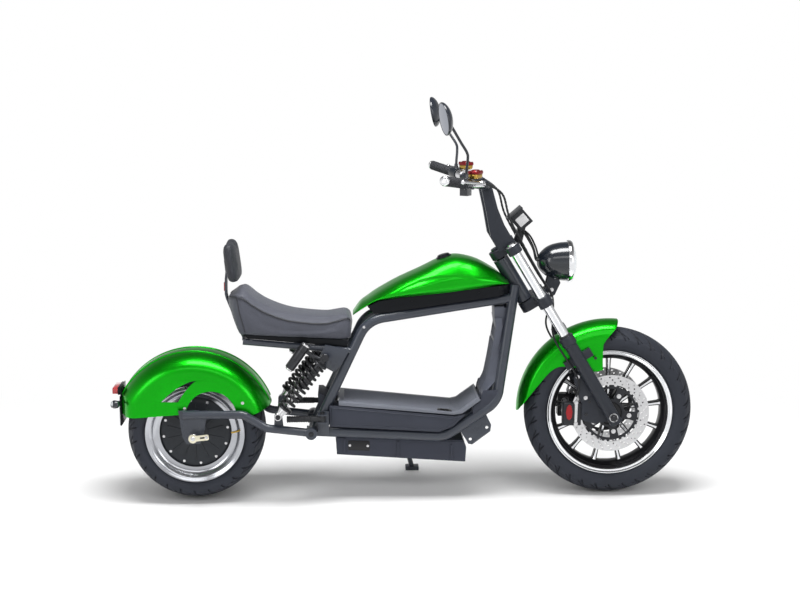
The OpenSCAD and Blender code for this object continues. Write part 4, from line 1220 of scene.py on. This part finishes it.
# %% Lamp bowl and its bracket
LAMP = Vector((532, 0, 818))
bowl = smooth([(-70, 0.5), (-69, 12), (-64, 25), (-54, 37), (-40, 49), (-20, 59), (5, 65), (22, 67),
               (32, 67.4)], 40) + [(32.1, 60)]
piece("lamp_bowl", spindle(Shape(), LAMP, AHEAD, bowl, 72), "lamp_black", "fork", sharp=45,
      replaces=("lamp_bucket",))
ear = [(24.3, 452), (24.3, 484), (62, 524), (88, 512), (82, 478), (44, 452)]
bracket = Shape().slab(ear, -24, -19).both()
bracket.slab([(24.3, 452), (24.3, 484), (30, 490), (30, 452)], -24, 24)
spindle(bracket, (78, -26, 506), LEFT, [(0, 10), (52, 10)], 24)
piece("lamp_bracket", bracket.moved(FORK), "fork_black", "fork", round_edge=1.5)
bolts("lamp_bolts", outward(fork_point(78, 26, 506), fork_point(44, 26, 474)), 5, 4, "bright_steel", "fork")

# %% Lamp ring, reflector, bulb and glass
ring_profile = [(32.2, 66), (32.2, 71.5), (34, 73), (40, 73.6), (46, 72.6), (50, 69.6), (51, 66.6),
                (49.5, 64.6), (44, 64.6)]
ring_rows = [[LAMP + Vector((a, r * math.cos(t), r * math.sin(t))) for a, r in ring_profile]
             for t in turns(96)]
piece("lamp_ring", Shape().skin(ring_rows, ring=True, loop=True), "chrome_tube", "fork", sharp=30,
      replaces=("lamp_lens",))
reflector = [(8, 14), (12, 26), (20, 40), (30, 54), (42, 64.2), (43, 65.4), (30, 56.6), (19, 42), (11, 27.5),
             (6.5, 14)]
piece("lamp_reflector", spindle(Shape(), LAMP, AHEAD, reflector, 22), "chrome_tube", "fork",
      finish="dish_alloy", sharp=5)
bulb = spindle(Shape(), LAMP + 6 * AHEAD, AHEAD, [(0, 13), (6, 13), (7, 9), (18, 9), (24, 7.4), (28, 3.5),
                                                  (29, 0.4)], 24)
piece("lamp_bulb", bulb, "bright_steel", "fork", finish="motor_black", sharp=40)
outer_face = smooth([(45, 64.4), (48, 64.2), (53, 58), (58, 48.5), (62, 36), (65.4, 20), (66.6, 0.4)], 26)
inner_face = [(a - 2.2, max(0.3, r - 0.8)) for a, r in outer_face[::-1]]
piece("lamp_glass_dome", spindle(Shape(), LAMP, AHEAD, outer_face + inner_face, 72), "lamp_glass", "fork",
      sharp=60)

# %% Dash and its silver cheeks
softened("instrument", "fork", "display_black", 2.5)
DASH = FORK @ Matrix.Translation((76, 0, 738)) @ Matrix.Rotation(math.radians(-10), 4, "Y")
cheek = Shape().box((-18, 46, -16), (19, 47.4, 17)).both()
piece("dash_cheeks", cheek.moved(DASH), "bright_steel", "fork", round_edge=0.6)
screen = Shape().box((-28.2, -38, -20), (-26.8, 38, 21)).moved(DASH)
piece("dash_screen", screen, "display_black", "fork", finish="screen_glass", round_edge=0.5)
visor = Shape().slab([(-27, 27), (24, 27), (30, 30), (30, 32.5), (-34, 32.5), (-34, 30)], -46, 46)
piece("dash_visor", visor.moved(DASH), "display_black", "fork", round_edge=1)

# %% [markdown]
# ## Bars
# The bar itself keeps its solid. Grips are ribbed rubber with plated ends, levers are flat curved blades with
# a ball at the tip, and the fluid pots have a gold body and a red lid. Everything is drawn on the left and
# mirrored.

# %% Grips
BAR_BEND, BAR_TIP = Vector((277.16, 100, 1084.93)), Vector((117.16, 346, 1125.93))
IN = (BAR_BEND - BAR_TIP).normalized()


def bar(t, *off):
    """A point on the left half of the bar, t millimetres in from its tip, or that far off it."""
    return BAR_TIP + IN * t + Vector(off or (0, 0, 0))


ridges = [(0.5, 15.6)]
for k in range(17):
    a = 8 + 6.6 * k
    ridges += [(a - 2.4, 15.3), (a - 1.6, 16.6), (a + 1.6, 16.6), (a + 2.4, 15.3)]
grip = spindle(Shape(), bar(2), IN, ridges + [(119, 15.6), (120, 18.4), (125, 18.8), (126, 17.5)], 36)
piece("grip_rubbers", grip.both(), "grip_rubber", "fork", sharp=40, replaces=("grips",))
ends = spindle(Shape(), bar(-5), IN, [(0, 9), (1.5, 13), (4, 15.6), (9, 16.8), (11, 16.8), (12, 15.5)], 32)
spindle(ends, bar(126.2), IN, [(0, 17.6), (0.8, 18.6), (2.6, 18.6), (3.2, 17.6)], 32)
piece("grip_ends", ends.both(), "chrome_tube", "fork", sharp=35)

# %% Switch pods and levers
softened("switch_pods", "fork", "lamp_black", 2.5)
blade = smooth([bar(183, 20, 9, 3), bar(179, 40, 20, 4), bar(150, 50, 27, 3), bar(96, 50, 30, 2),
                bar(56, 45, 27, 1), bar(34, 43, 26, 0), bar(30, 44, 26, 0)], 48)
taper = [9.5 - 3.6 * ease(i, 4, 20) + 0.6 * ease(i, 36, 44) for i in range(49)]
lever = Shape().tube(blade, taper, 14, flat=0.72)
BALL = 7.6
ball = [(BALL * math.cos(math.pi * k / 12 + math.pi), BALL * math.sin(math.pi * k / 12) + 0.05)
        for k in range(13)]
spindle(lever, bar(30, 44, 26, 0), IN, ball, 24)
spindle(lever, bar(164), IN, [(0, 15.6), (1.2, 17.2), (24.8, 17.2), (26, 15.6)], 32)
spindle(lever, bar(182), bar(178, 42, 20, 4) - bar(182), [(8, 11.5), (44, 11.5), (47, 10), (48, 7)], 24)
piece("brake_lever_blades", lever.both(), "lever_alloy", "fork", sharp=40, replaces=("brake_levers",))

# %% Fluid pots
POT = Matrix.Translation(bar(183, 14, 6, 20)) @ Matrix.Rotation(math.radians(33), 4, "Z")


def squared(value, power=0.55):
    return math.copysign(abs(value) ** power, value)


def pot(layers):
    """Stacked rounded boxes as (height, half length, half width)."""
    rows = [[(squared(math.cos(t)) * wide, squared(math.sin(t)) * long, z) for t in turns(40)]
            for z, long, wide in layers]
    return Shape().skin(rows, ring=True, caps=True).moved(POT).both()


piece("brake_pots", pot([(0, 16, 12), (1.5, 20, 15), (6, 24, 17.5), (14, 25, 18), (16, 24, 17)]),
      "reservoir_gold", "fork", sharp=40, replaces=("reservoirs",))
lids = [(16, 26, 19), (18, 27, 20), (24, 27, 20), (26.5, 25, 18), (27, 16, 11), (29, 15, 10), (30, 12, 8)]
piece("brake_pot_lids", pot(lids), "reservoir_gold", "fork", finish="lid_red", sharp=40)
lid_spots = [(POT @ Vector((x, y, 26.4)), UP) for x in (-13, 13) for y in (-20, 20)]
bolts("brake_pot_screws", both_sides(lid_spots), 2.4, 1.6, "bright_steel", "fork", sides=10)

# %% [markdown]
# ## Mirrors, hoses and wires
# A bent arm is a ring of points carried along a smooth curve, and so are the hoses and the wires. A curve
# object with a bevel would do the same, but here the thickness is easily changed along the way, which gives
# the hoses the wound look of their upper length. The mirror's head is turned like a bowl and then tipped
# into place.

# %% Mirrors
stem = smooth([(197, 228, 1124), (198, 231, 1150), (201, 239, 1185), (198, 248, 1208), (175, 266, 1245),
               (150, 286, 1286), (134, 299, 1312)], 60)
arms = Shape().tube(stem, 4.6, 14)
spindle(arms, (197, 228, 1116), (0, 0.03, 1), [(0, 8), (14, 8), (16, 6.6), (22, 6.4), (23, 5)], 6)
piece("mirror_arms", arms.both(), "mirror_black", "fork", sharp=35, replaces=("mirrors",))
HEAD = (Matrix.Translation((128, 300, 1321)) @ Matrix.Rotation(math.radians(-12), 4, "Z")
        @ Matrix.Rotation(math.radians(-100), 4, "Y"))
shell = smooth([(-16, 0.4), (-15.4, 14), (-13, 26), (-8, 39), (0, 50), (7, 54), (10.5, 53.6)], 30)
shell += [(11, 52), (9.6, 50.4), (9, 49)]
shells = spindle(Shape(), (0, 0, 0), UP, shell, 64).moved(HEAD)
piece("mirror_shells", shells.both(), "mirror_black", "fork", sharp=40)
faces = spindle(Shape(), (0, 0, 0), UP, [(9.2, 50), (10.2, 50), (10.9, 30), (11.1, 0.5)], 64).moved(HEAD)
piece("mirror_faces", faces.both(), "mirror_black", "fork", finish="dark_mirror", sharp=40)

# %% Brake hoses
hose_path = [bar(190, 34, 8, 8), bar(222, 52, -10, -4)]
hose_path += [fork_point(*p) for p in ((62, 92, 850), (42, 86, 770), (36, 66, 650), (34, 62, 540),
                                       (34, 62, 465), (4, 66, 405), (-36, 92, 335), (-37, 94, 170))]
hose_line = smooth(hose_path + [(588, 84, 340)], 240)
hoses = Shape().tube(hose_line, [3.4 + 0.5 * (i % 4 < 2) * (i < 100) for i in range(241)], 12)
piece("brake_hose_pair", hoses.both(), "hose_rubber", "fork", sharp=50, replaces=("brake_hoses",))
fits = Shape().tube(hose_line[:7], 4.6, 14).tube(hose_line[-9:], 4.6, 14)
piece("hose_ends", fits.both(), "bright_steel", "fork", sharp=40)

# %% Wiring behind the lamp
wires = Shape()
for lane, bow in ((-14, 10), (-4, 22), (9, 16)):
    run = [fork_point(58, lane, 716), fork_point(52 + bow, lane * 1.6, 676),
           fork_point(50 + bow, lane * 1.8, 630), fork_point(40 + bow, lane * 1.3, 590),
           LAMP + Vector((-62 + abs(lane) * 0.6, lane, 12))]
    wires.tube(smooth(run, 40), 3.2, 10)
piece("lamp_wiring", wires, "hose_rubber", "fork", sharp=60)

# %% [markdown]
# ## Brake calipers
# A cast caliper has no sharp corner, so a rounded copy stands for the plain block. The red cover is a plain
# inset, and a plated strip with two bolts holds the caliper to an arm of the slider.

# %% Front calipers
softened("front_calipers", "fork", "caliper_black", 5)
inset = Shape().slab([(563, 282), (572, 276), (580, 286), (582, 305), (578, 326), (570, 332), (562, 322),
                      (559, 303)], 90.1, 91.8)
piece("caliper_covers", inset.both(), "caliper_black", "fork", finish="cover_red", round_edge=0.8)
strip = Shape().slab([(589, 258), (598, 258), (600, 340), (590, 346)], 90.1, 92)
piece("caliper_strips", strip.both(), "bright_steel", "fork", round_edge=0.6)
arm = Shape().slab([(588, 436), (584, 422), (596, 384), (606, 350), (613, 334), (650, 361), (668, 356),
                    (640, 396), (612, 440), (600, 445)], 79.5, 87.5)
piece("caliper_arms", arm.both(), "fork_black", "fork", round_edge=2)
bolts("caliper_bolts", outward((594, 92, 338), (594, 92, 264), (598, 87.5, 428), (627, 87.5, 354)), 5.2, 3.6,
      "bright_steel", "fork")
pistons = Shape()
for z in (282, 314):
    spindle(pistons, (575, 44, z), -LEFT, [(-3, 15), (2, 15), (4, 13), (4.4, 8)], 32)
piece("caliper_pistons", pistons.both(), "bright_steel", "fork", sharp=35)

# %% [markdown]
# ## Floor
# The floor is moulded plastic between the frame tubes. Its step plate and riser carry ribs along the
# scooter so that a boot keeps its grip, and a row rule repeats one rib. The battery box below has a blank
# plate on its right side.

# %% Softened solids of the frame and floor
for node, slot, width in (
        ("frame_brackets", "frame_paint", 2), ("seat_rails", "frame_paint", 1.5),
        ("battery_box", "battery_case", 2.5), ("floor_tub", "floor_plastic", 2.5),
        ("side_panels", "floor_plastic", 1.2), ("tank_skirt", "skirt_black", 2),
        ("seat_pan", "skirt_black", 4), ("backrest_bar", "frame_paint", 1.5),
        ("swing_arm", "frame_paint", 1.5), ("rear_caliper", "caliper_black", 4),
        ("plate_holder", "skirt_black", 1)):
    softened(node, "chassis", slot, width)
softened("riser_panel", "chassis", "floor_plastic", 3, finish="riser_plastic")
softened("deck_lid", "deck_lid", "deck_plastic", 2)
softened("side_stand", "side_stand", "frame_paint", 2)

# %% Ribs of the step plate and riser
deck_line = ((-206, 350.4), (162, 313), (172, 312.6), (190, 317), (250, 359.5))
deck_rib = Shape().tube([(x, -84, z) for x, z in deck_line], 2.2, 8)
row_of("deck_ribs", deck_rib, 13, (0, 14, 0), "deck_plastic", "deck_lid")
riser_line = smooth([(267, 366), (269, 386), (284.5, 419), (293, 458), (300, 496), (308, 548)], 30)
riser_rib = Shape().tube([(x, -50, z) for x, z in riser_line], 2.6, 8)
row_of("riser_ribs", riser_rib, 11, (0, 10, 0), "floor_plastic", "chassis", finish="riser_plastic")

# %% Lining between the riser and the frame tubes
# The panel ends at two tubes that draw together towards the head, so a strip on each side runs from its edge
# to the inside of the tube. A toe closes the joint above the lid and a head piece reaches the upper tubes.
RISER = [(350, 265.5), (356, 266), (378, 266), (416, 284), (495, 300), (603, 317), (632, 313), (664, 312)]
TUBE = [(350, 310), (356, 312), (372, 318), (390, 325.5), (664, 370)]
lining_rows = []
for i in range(41):
    z = 350 + 314 * i / 40
    near, far = along(RISER, z), along(TUBE, z) - 9
    spread_y = 88 - 50 * max(0, z - 344) / 398
    edge = min(58, spread_y)
    rise = ease(z, 366, 436)
    far, reach = near + 5 + (far - near - 5) * rise, 101 + (spread_y - 107) * rise
    lining_rows.append([(near + (far - near) * k / 6, edge + (reach - edge) * k / 6, z) for k in range(7)])
piece("riser_lining", Shape().skin(lining_rows).both(), "floor_plastic", "chassis", finish="riser_plastic",
      wall=3)
toe = Shape().slab([(264.5, 349), (264.5, 368), (268, 384), (274, 396), (278, 396), (270, 357)], -59, 59)
piece("riser_toe", toe, "floor_plastic", "chassis", finish="riser_plastic", round_edge=1.5)
cheek_edge = [(236, 329), (262, 348), (265, 368), (271, 386), (322, 388), (316, 358), (290, 322), (262, 303),
              (236, 300)]
piece("riser_cheeks", Shape().slab(cheek_edge, 97.5, 101.5).both(), "floor_plastic", "chassis",
      round_edge=1.2)
crown = Shape().slab([(312, 630), (337, 630), (346, 668), (312, 668)], -44, 44)
piece("riser_head", crown, "floor_plastic", "chassis", finish="riser_plastic", round_edge=2)
nose_rows = [[(x, y, z) for y, z in ((-w, low), (w, low), (w, high), (-w, high))] for x, w, low, high in (
    (321, 82, 711, 745), (342, 70, 713, 747), (356, 56, 715, 748), (364, 44, 716, 749))]
piece("skirt_nose", Shape().skin(nose_rows, ring=True, caps=True), "skirt_black", "chassis", round_edge=2)

# %% Latch and hinge
level = Matrix.Translation((140, -88, 316)) @ Matrix.Rotation(math.radians(5.8), 4, "Y")
latch = Shape().box((-26, -13, -2), (24, 13, 1.4)).box((-16, -8, 1), (14, -2, 5)).box((-16, 4, 1), (14, 8, 3))
piece("deck_latch", latch.moved(level), "deck_plastic", "deck_lid", finish="rim_black", round_edge=1.5)
hinge = spindle(Shape(), (-224, -62, 346), LEFT, [(0, 4), (1, 6.2), (20, 6.2), (21, 5), (103, 5), (104, 6.2),
                                                  (123, 6.2), (124, 4)], 24)
piece("deck_hinge", hinge, "bright_steel", "deck_lid", sharp=30)

# %% Panel beads and battery plate
bead_line = [(-248, 331), (-224, 329), (174, 289.5), (192, 293.5), (160, 267), (118, 252), (-248, 273.5)]
panel_bead = Shape().tube([(x, 111, z) for x, z in bead_line], 1.6, 8, loop=True)
piece("panel_beads", panel_bead.both(), "floor_plastic", "chassis")
blank = Shape().slab([(-193, 174), (-193, 208), (-119, 205), (-119, 171)], -82.2, -79.5)
piece("battery_plate", blank, "battery_case", "chassis", finish="rim_black", round_edge=0.6)
plate_spots = [((x, -82.2, 189.6 - 0.04 * (x + 156)), -LEFT) for x in (-187, -125)]
bolts("battery_plate_screws", plate_spots, 3.2, 1.8, "bright_steel", "chassis", sides=12)
lid_line = [(x, 81.5, z) for x, z in ((-232, 216), (-200, 219), (100, 203.6), (204, 199))]
piece("battery_seams", Shape().tube(lid_line, 1.8, 8).both(), "battery_case", "chassis")

# %% Bolts of the frame, skirt, saddle and stand
frame_spots = [((-318, 152.2, 250), LEFT), ((-280, 134, 317.6), UP), ((-430, 152, 309), LEFT),
               ((-269, 147, 513), LEFT)]
bolts("frame_bolts", both_sides(frame_spots), 6.5, 5, "bright_steel", "chassis", finish="shock_metal")
bolts("skirt_screws", outward((28, 84, 693), (256, 84, 722)), 3.2, 2, "skirt_black", "chassis", sides=12)
bolts("saddle_screws", outward((-136, 95.6, 608)), 4, 2.6, "bright_steel", "chassis", sides=12)
STAND_TILT = math.radians(31)
tilt = Vector((0, math.cos(STAND_TILT), math.sin(STAND_TILT)))
bolts("stand_bolt", [(Vector((-4, 112, 204)) + 9.2 * tilt, tilt)], 8, 5, "bright_steel", "chassis")

# %% [markdown]
# ## Shocks
# Each shock is turned: an eye at both ends, a black cylinder, a bright rod, two spring seats and a coil. The
# coil is wound by a rule with a radius, a wire, a height and a number of turns. The gas bottle beside it
# sits on the seat side.

# %% A coil by rule
coil_graph, given = new_tree("wound_coil", Radius="Float", Wire="Float", Height="Float", Turns="Float")
spiral = coil_graph.add("GeometryNodeCurveSpiral", None, {
    "Resolution": 40, "Rotations": given.out("Turns"), "Start Radius": given.out("Radius"),
    "End Radius": given.out("Radius"), "Height": given.out("Height")})
wire_ring = coil_graph.add("GeometryNodeCurvePrimitiveCircle", None, {
    "Resolution": 12, "Radius": given.out("Wire")})
COIL = end_tree(coil_graph, given, coil_graph.add("GeometryNodeCurveToMesh", None, {
    "Curve": spiral, "Profile Curve": wire_ring, "Fill Caps": True}))

# %% Coils
SIDES = (("left", 1), ("right", -1))
SHOCK_TOP, SHOCK_LOW = Vector((-269, 139, 513)), Vector((-430, 139, 309))
COIL_START = 37.9
down = (SHOCK_LOW - SHOCK_TOP).normalized()
for side, hand in SIDES:
    aim_down = Vector((down.x, hand * down.y, down.z))
    start = Vector((SHOCK_TOP.x, hand * SHOCK_TOP.y, SHOCK_TOP.z)) + aim_down * COIL_START
    at = Matrix.Translation(start) @ aim_down.to_track_quat("Z", "Y").to_matrix().to_4x4()
    grown("shock_coil_" + side, COIL, bpy.data.meshes.new("shock_coil_" + side),
          {"Radius": 21.0, "Wire": 5.2, "Height": 174.0, "Turns": 9.0}, "spring_black", "chassis",
          PARKED @ at, sharp=60, replaces=("shock_springs",) if hand > 0 else ())

# %% Cylinders, rods and bottles
eyelet = [(-11, 8), (-10.4, 12), (-9, 13.2), (9, 13.2), (10.4, 12), (11, 8)]
BOTTLE_TOP, BOTTLE_END = Vector((-330, 139, 560)), Vector((-394, 139, 470))
bottle_way = BOTTLE_END - BOTTLE_TOP
elbow = SHOCK_TOP + down * 12
black, steel = Shape(), Shape()
spindle(black, SHOCK_TOP, LEFT, eyelet, 32)
spindle(black, SHOCK_TOP, down, [
    (10, 12), (20, 14), (24, 25), (26, 27), (32, 27), (33, 25), (34, 14.6), (60, 14.6), (61, 13.4),
    (64, 13.4), (65, 14.6), (90, 14.6), (91, 13.4), (94, 13.4), (95, 14.6), (127, 14.6), (130, 12.5),
    (131, 7)], 40)
spindle(black, SHOCK_TOP, down, [(215, 12), (217, 25), (218.5, 27), (224, 27), (225.5, 25), (226, 12)], 40)
spindle(black, BOTTLE_TOP, bottle_way, [(6, 12), (7, 17), (26, 17), (27, 15.6), (29, 15.6), (30, 17),
                                        (100, 17), (102, 15.6)], 40)
black.tube(smooth([elbow, elbow + Vector((-34, 0, 16)), (-344, 139, 545.5)], 16), 7.5, 16)
spindle(steel, SHOCK_TOP, down, [(129, 6.2), (219, 6.2)], 24)
spindle(steel, SHOCK_TOP, down, [(225, 8), (226, 11), (240, 11.4), (252, 10.6)], 24)
fork_end = [SHOCK_TOP + down * t + Vector((down.z, 0, -down.x)) * w
            for t, w in ((227, 17), (246, 11), (262, 13), (262, -13), (246, -11), (227, -17))]
steel.slab([(p.x, p.z) for p in fork_end], 131, 147)
spindle(steel, SHOCK_LOW, LEFT, eyelet, 32)
spindle(steel, BOTTLE_TOP, bottle_way, [(0, 9), (1.5, 14), (5, 16), (7, 16)], 32)
spindle(steel, BOTTLE_TOP, bottle_way, [(102, 13), (106, 13), (108, 11), (109, 5)], 32)
piece("shock_cylinders", black.both(), "shock_metal", "chassis", sharp=35, replaces=("shock_bodies",))
piece("shock_rods", steel.both(), "bright_steel", "chassis", sharp=35)

# %% [markdown]
# ## Rear end
# The hub motor must not turn on its axle, so a plated plate with a slot locks the axle flat to the arm. The
# tail carries a red lamp, two turn lamps on short stalks and a blank plate.

# %% Axle nuts and the locking plate
rear_nut = Shape()
spindle(rear_nut, REAR_AXLE + 147 * LEFT, LEFT, [(0, 14), (1.2, 15.4), (9, 15.4), (10.4, 13)], 6)
spindle(rear_nut, REAR_AXLE + 155 * LEFT, LEFT, [(0, 8), (4, 8), (5.2, 6.6)], 24)
piece("rear_axle_nuts", rear_nut.both(), "bright_steel", "chassis", sharp=25, round_edge=0.5)
lock = arc(0, 0, 15, 40, 320, 28) + [(50, -10), (54, -7), (54, 7), (50, 10)]
slot_hole = [(24, -3), (40, -3), (40, 3), (24, 3)]
plate_turn = Matrix.Translation(REAR_AXLE) @ Matrix.Rotation(math.radians(-6), 4, "Y")
piece("axle_lock_plate", Shape().slab(lock, -158, -155.4, [slot_hole]).moved(plate_turn), "bright_steel",
      "chassis", finish="zinc_plate", round_edge=0.5)
bolts("lock_plate_screw", [(plate_turn @ Vector((46, -158, 0)), -LEFT)], 4, 2.5, "bright_steel", "chassis")
bolts("rear_fender_bolts", outward((-748, 116.2, 334), (-551, 116.2, 352)), 4, 2.6, "bright_steel", "chassis",
      sides=12)
bolts("rear_caliper_bolts", [((-612, 119.8, z), LEFT) for z in (274, 306)], 6, 4, "bright_steel", "chassis")

# %% Tail lamp, turn lamps and blank plate
lens = Shape().box((-1002, -46, 371), (-982, 46, 391))
for k in range(7):
    lens.box((-1003.2, -42 + 12 * k, 373), (-1001, -34 + 12 * k, 389))
piece("tail_lens", lens, "red_lens", "chassis", round_edge=1.6, replaces=("tail_lamps",))
tail_box = Shape().box((-984, -49, 368), (-974.2, 49, 394)).box((-976, -30, 360), (-971.5, 30, 370))
piece("tail_case", tail_box, "skirt_black", "chassis", round_edge=2)
for name, slot, sharp, start, way, sides, profile in (
        ("turn_pods", "lamp_black", 40, (-971.5, 92, 345), -AHEAD, 32,
         [(0, 4), (1.5, 9), (6, 12.4), (12, 14), (20, 14.4), (21.5, 13.6), (22, 11)]),
        ("turn_stalks", "skirt_black", 40, (-977, 60.3, 345), LEFT, 20,
         [(0, 6), (3, 6), (4, 4.4), (19, 4.4), (20, 5.4), (26, 5.4)]),
        ("turn_lenses", "lamp_glass", 50, (-991, 92, 345), -AHEAD, 32,
         [(0, 12.6), (2.4, 12.6), (7, 11), (9.6, 7.6), (10.8, 3.5), (11.1, 0.4)])):
    piece(name, spindle(Shape(), start, way, profile, sides).both(), slot, "chassis", sharp=sharp)
number = Shape().box((-978.4, -56, 264), (-975.8, 56, 334))
piece("number_plate", number, "skirt_black", "chassis", finish="plate_white", round_edge=0.8)
number_spots = [((-978.4, y, 322), -AHEAD) for y in (-38, 38)]
bolts("number_plate_screws", number_spots, 4, 2, "bright_steel", "chassis", sides=12)
badge = Shape().box((-616, -13, 722), (-612.4, 13, 752))
piece("back_reflector", badge, "red_lens", "chassis", round_edge=1.4)

# %% [markdown]
# ## Pegs and filler cap
# Both are turned parts again. The sleeve of a peg is rubber with rings that grip the boot, and it rides on
# the peg, which folds. The filler cap stands square on the slope of the tank.

# %% Ribbed pegs
for side, hand in SIDES:
    a, b = Vector((-285, hand * 136, 300)), Vector((-398, hand * 140, 300))
    ribs = [(26, 9.6)]
    for k in range(10):
        ribs += [(30 + 8 * k, 9.8), (31 + 8 * k, 11.2), (35 + 8 * k, 11.2), (36 + 8 * k, 9.8)]
    ribs += [(109, 9.8), (110, 11.6), (114, 11.6), (115.5, 10), (116, 6)]
    piece("peg_sleeve_" + side, spindle(Shape(), a, b - a, ribs, 28), "peg_rubber", "foot_peg_" + side,
          sharp=40)

# %% Filler cap on the tank
cap = spindle(Shape(), (140, 0, 835), (-0.28, 0, 0.96), [
    (-4, 27), (2, 27), (4, 26), (4.4, 22), (6, 21.6), (9.5, 20.4), (10.6, 17), (10.8, 0.5)], 48)
piece("filler_cap", cap, "skirt_black", "chassis", sharp=35)

# %% [markdown]
# ## Floor and light
# A pale floor takes the soft shadow between the wheels and fades into plain white away from the scooter, so
# no edge shows behind it. The camera sees the sky as white, and metal sees a sky that is pale low down and
# darker overhead, so that chrome has something to mirror. One wide box above gives the shadow, a long one at
# the shoulder lights the near side, and two upright ones shape tubes and tank.

# %% Floor
floor = placed("floor", bpy.data.meshes.new("floor"))
FLOOR = 30  # metres from the middle to the edge
floor.data.from_pydata([(-FLOOR, -FLOOR, 0), (FLOOR, -FLOOR, 0), (FLOOR, FLOOR, 0), (-FLOOR, FLOOR, 0)], [],
                       [(0, 1, 2, 3)])
pale = Finish("pale_floor", (0.86, 0.86, 0.86), 0.9)
pale.tint(pale.noise(0.8, 2), 0.99, 1.01)
plain_white = pale.add("ShaderNodeEmission")
distance = pale.vector("LENGTH", pale.vector("MULTIPLY", pale.place, (0.6, 1.0, 0.0)), out="Value")
fade = pale.add("ShaderNodeMapRange", {"interpolation_type": "SMOOTHSTEP"}, {
    "Value": distance, "From Min": 0.6, "From Max": 1.5})
own_look = Wire(pale, pale.tree.nodes["Principled BSDF"].outputs[0])
faded = pale.add("ShaderNodeMixShader", None, {0: fade, 1: own_look, 2: plain_white})
pale.plug(pale.tree.nodes["Material Output"].inputs["Surface"], faded)
floor.data.materials.append(pale.material)

# %% Sky
SKY = 0.4
world = bpy.context.scene.world or bpy.data.worlds.new("sky")
bpy.context.scene.world = world
world.use_nodes = True
sky = Graph(world.node_tree)
path = sky.add("ShaderNodeLightPath", out="Is Camera Ray")
seen = sky.math("MAXIMUM", path, path.out("Is Transmission Ray"))
height = sky.add("ShaderNodeSeparateXYZ", None, {0: sky.add("ShaderNodeTexCoord", out="Generated")}, "Z")


def sky_band(value, low, high, start, stop):
    return sky.add("ShaderNodeMapRange", None, {"Value": value, "From Min": low, "From Max": high,
                                                "To Min": start, "To Max": stop})


in_metal = sky_band(height, 0.08, 0.7, 1.1, 0.22) * sky_band(height.out("Y"), -0.2, 0.6, 1.0, 0.4)
ground = world.node_tree.nodes["Background"]
ground.inputs["Color"].default_value = (1, 1, 1, 1)
sky.plug(ground.inputs["Strength"], SKY + (1 - SKY) * seen + path.out("Is Glossy Ray") * (in_metal - SKY))


# %% Soft boxes
def soft_box(name, at, aim, width, height, power):
    lamp = placed(name, bpy.data.lights.new(name, "AREA"))
    lamp.data.shape = "RECTANGLE"
    lamp.data.size, lamp.data.size_y, lamp.data.energy = width, height, power
    lamp.location = at
    lamp.rotation_euler = (Vector(aim) - Vector(at)).to_track_quat("-Z", "Y").to_euler()
    print(name, power, "watts")


soft_box("top_box", (0, -0.25, 3.6), (0, 0, 0.5), 2.6, 1.1, 150)
soft_box("shoulder_box", (0, -3.2, 3.4), (0, 0, 0.5), 4.2, 0.8, 26)
soft_box("front_box", (2.6, -2.6, 2.2), (0.3, 0, 0.6), 1.2, 1.6, 22)
soft_box("rear_box", (-2.8, -2.2, 2.0), (-0.4, 0, 0.6), 1.0, 1.6, 18)
bpy.context.scene.view_settings.view_transform = "Standard"
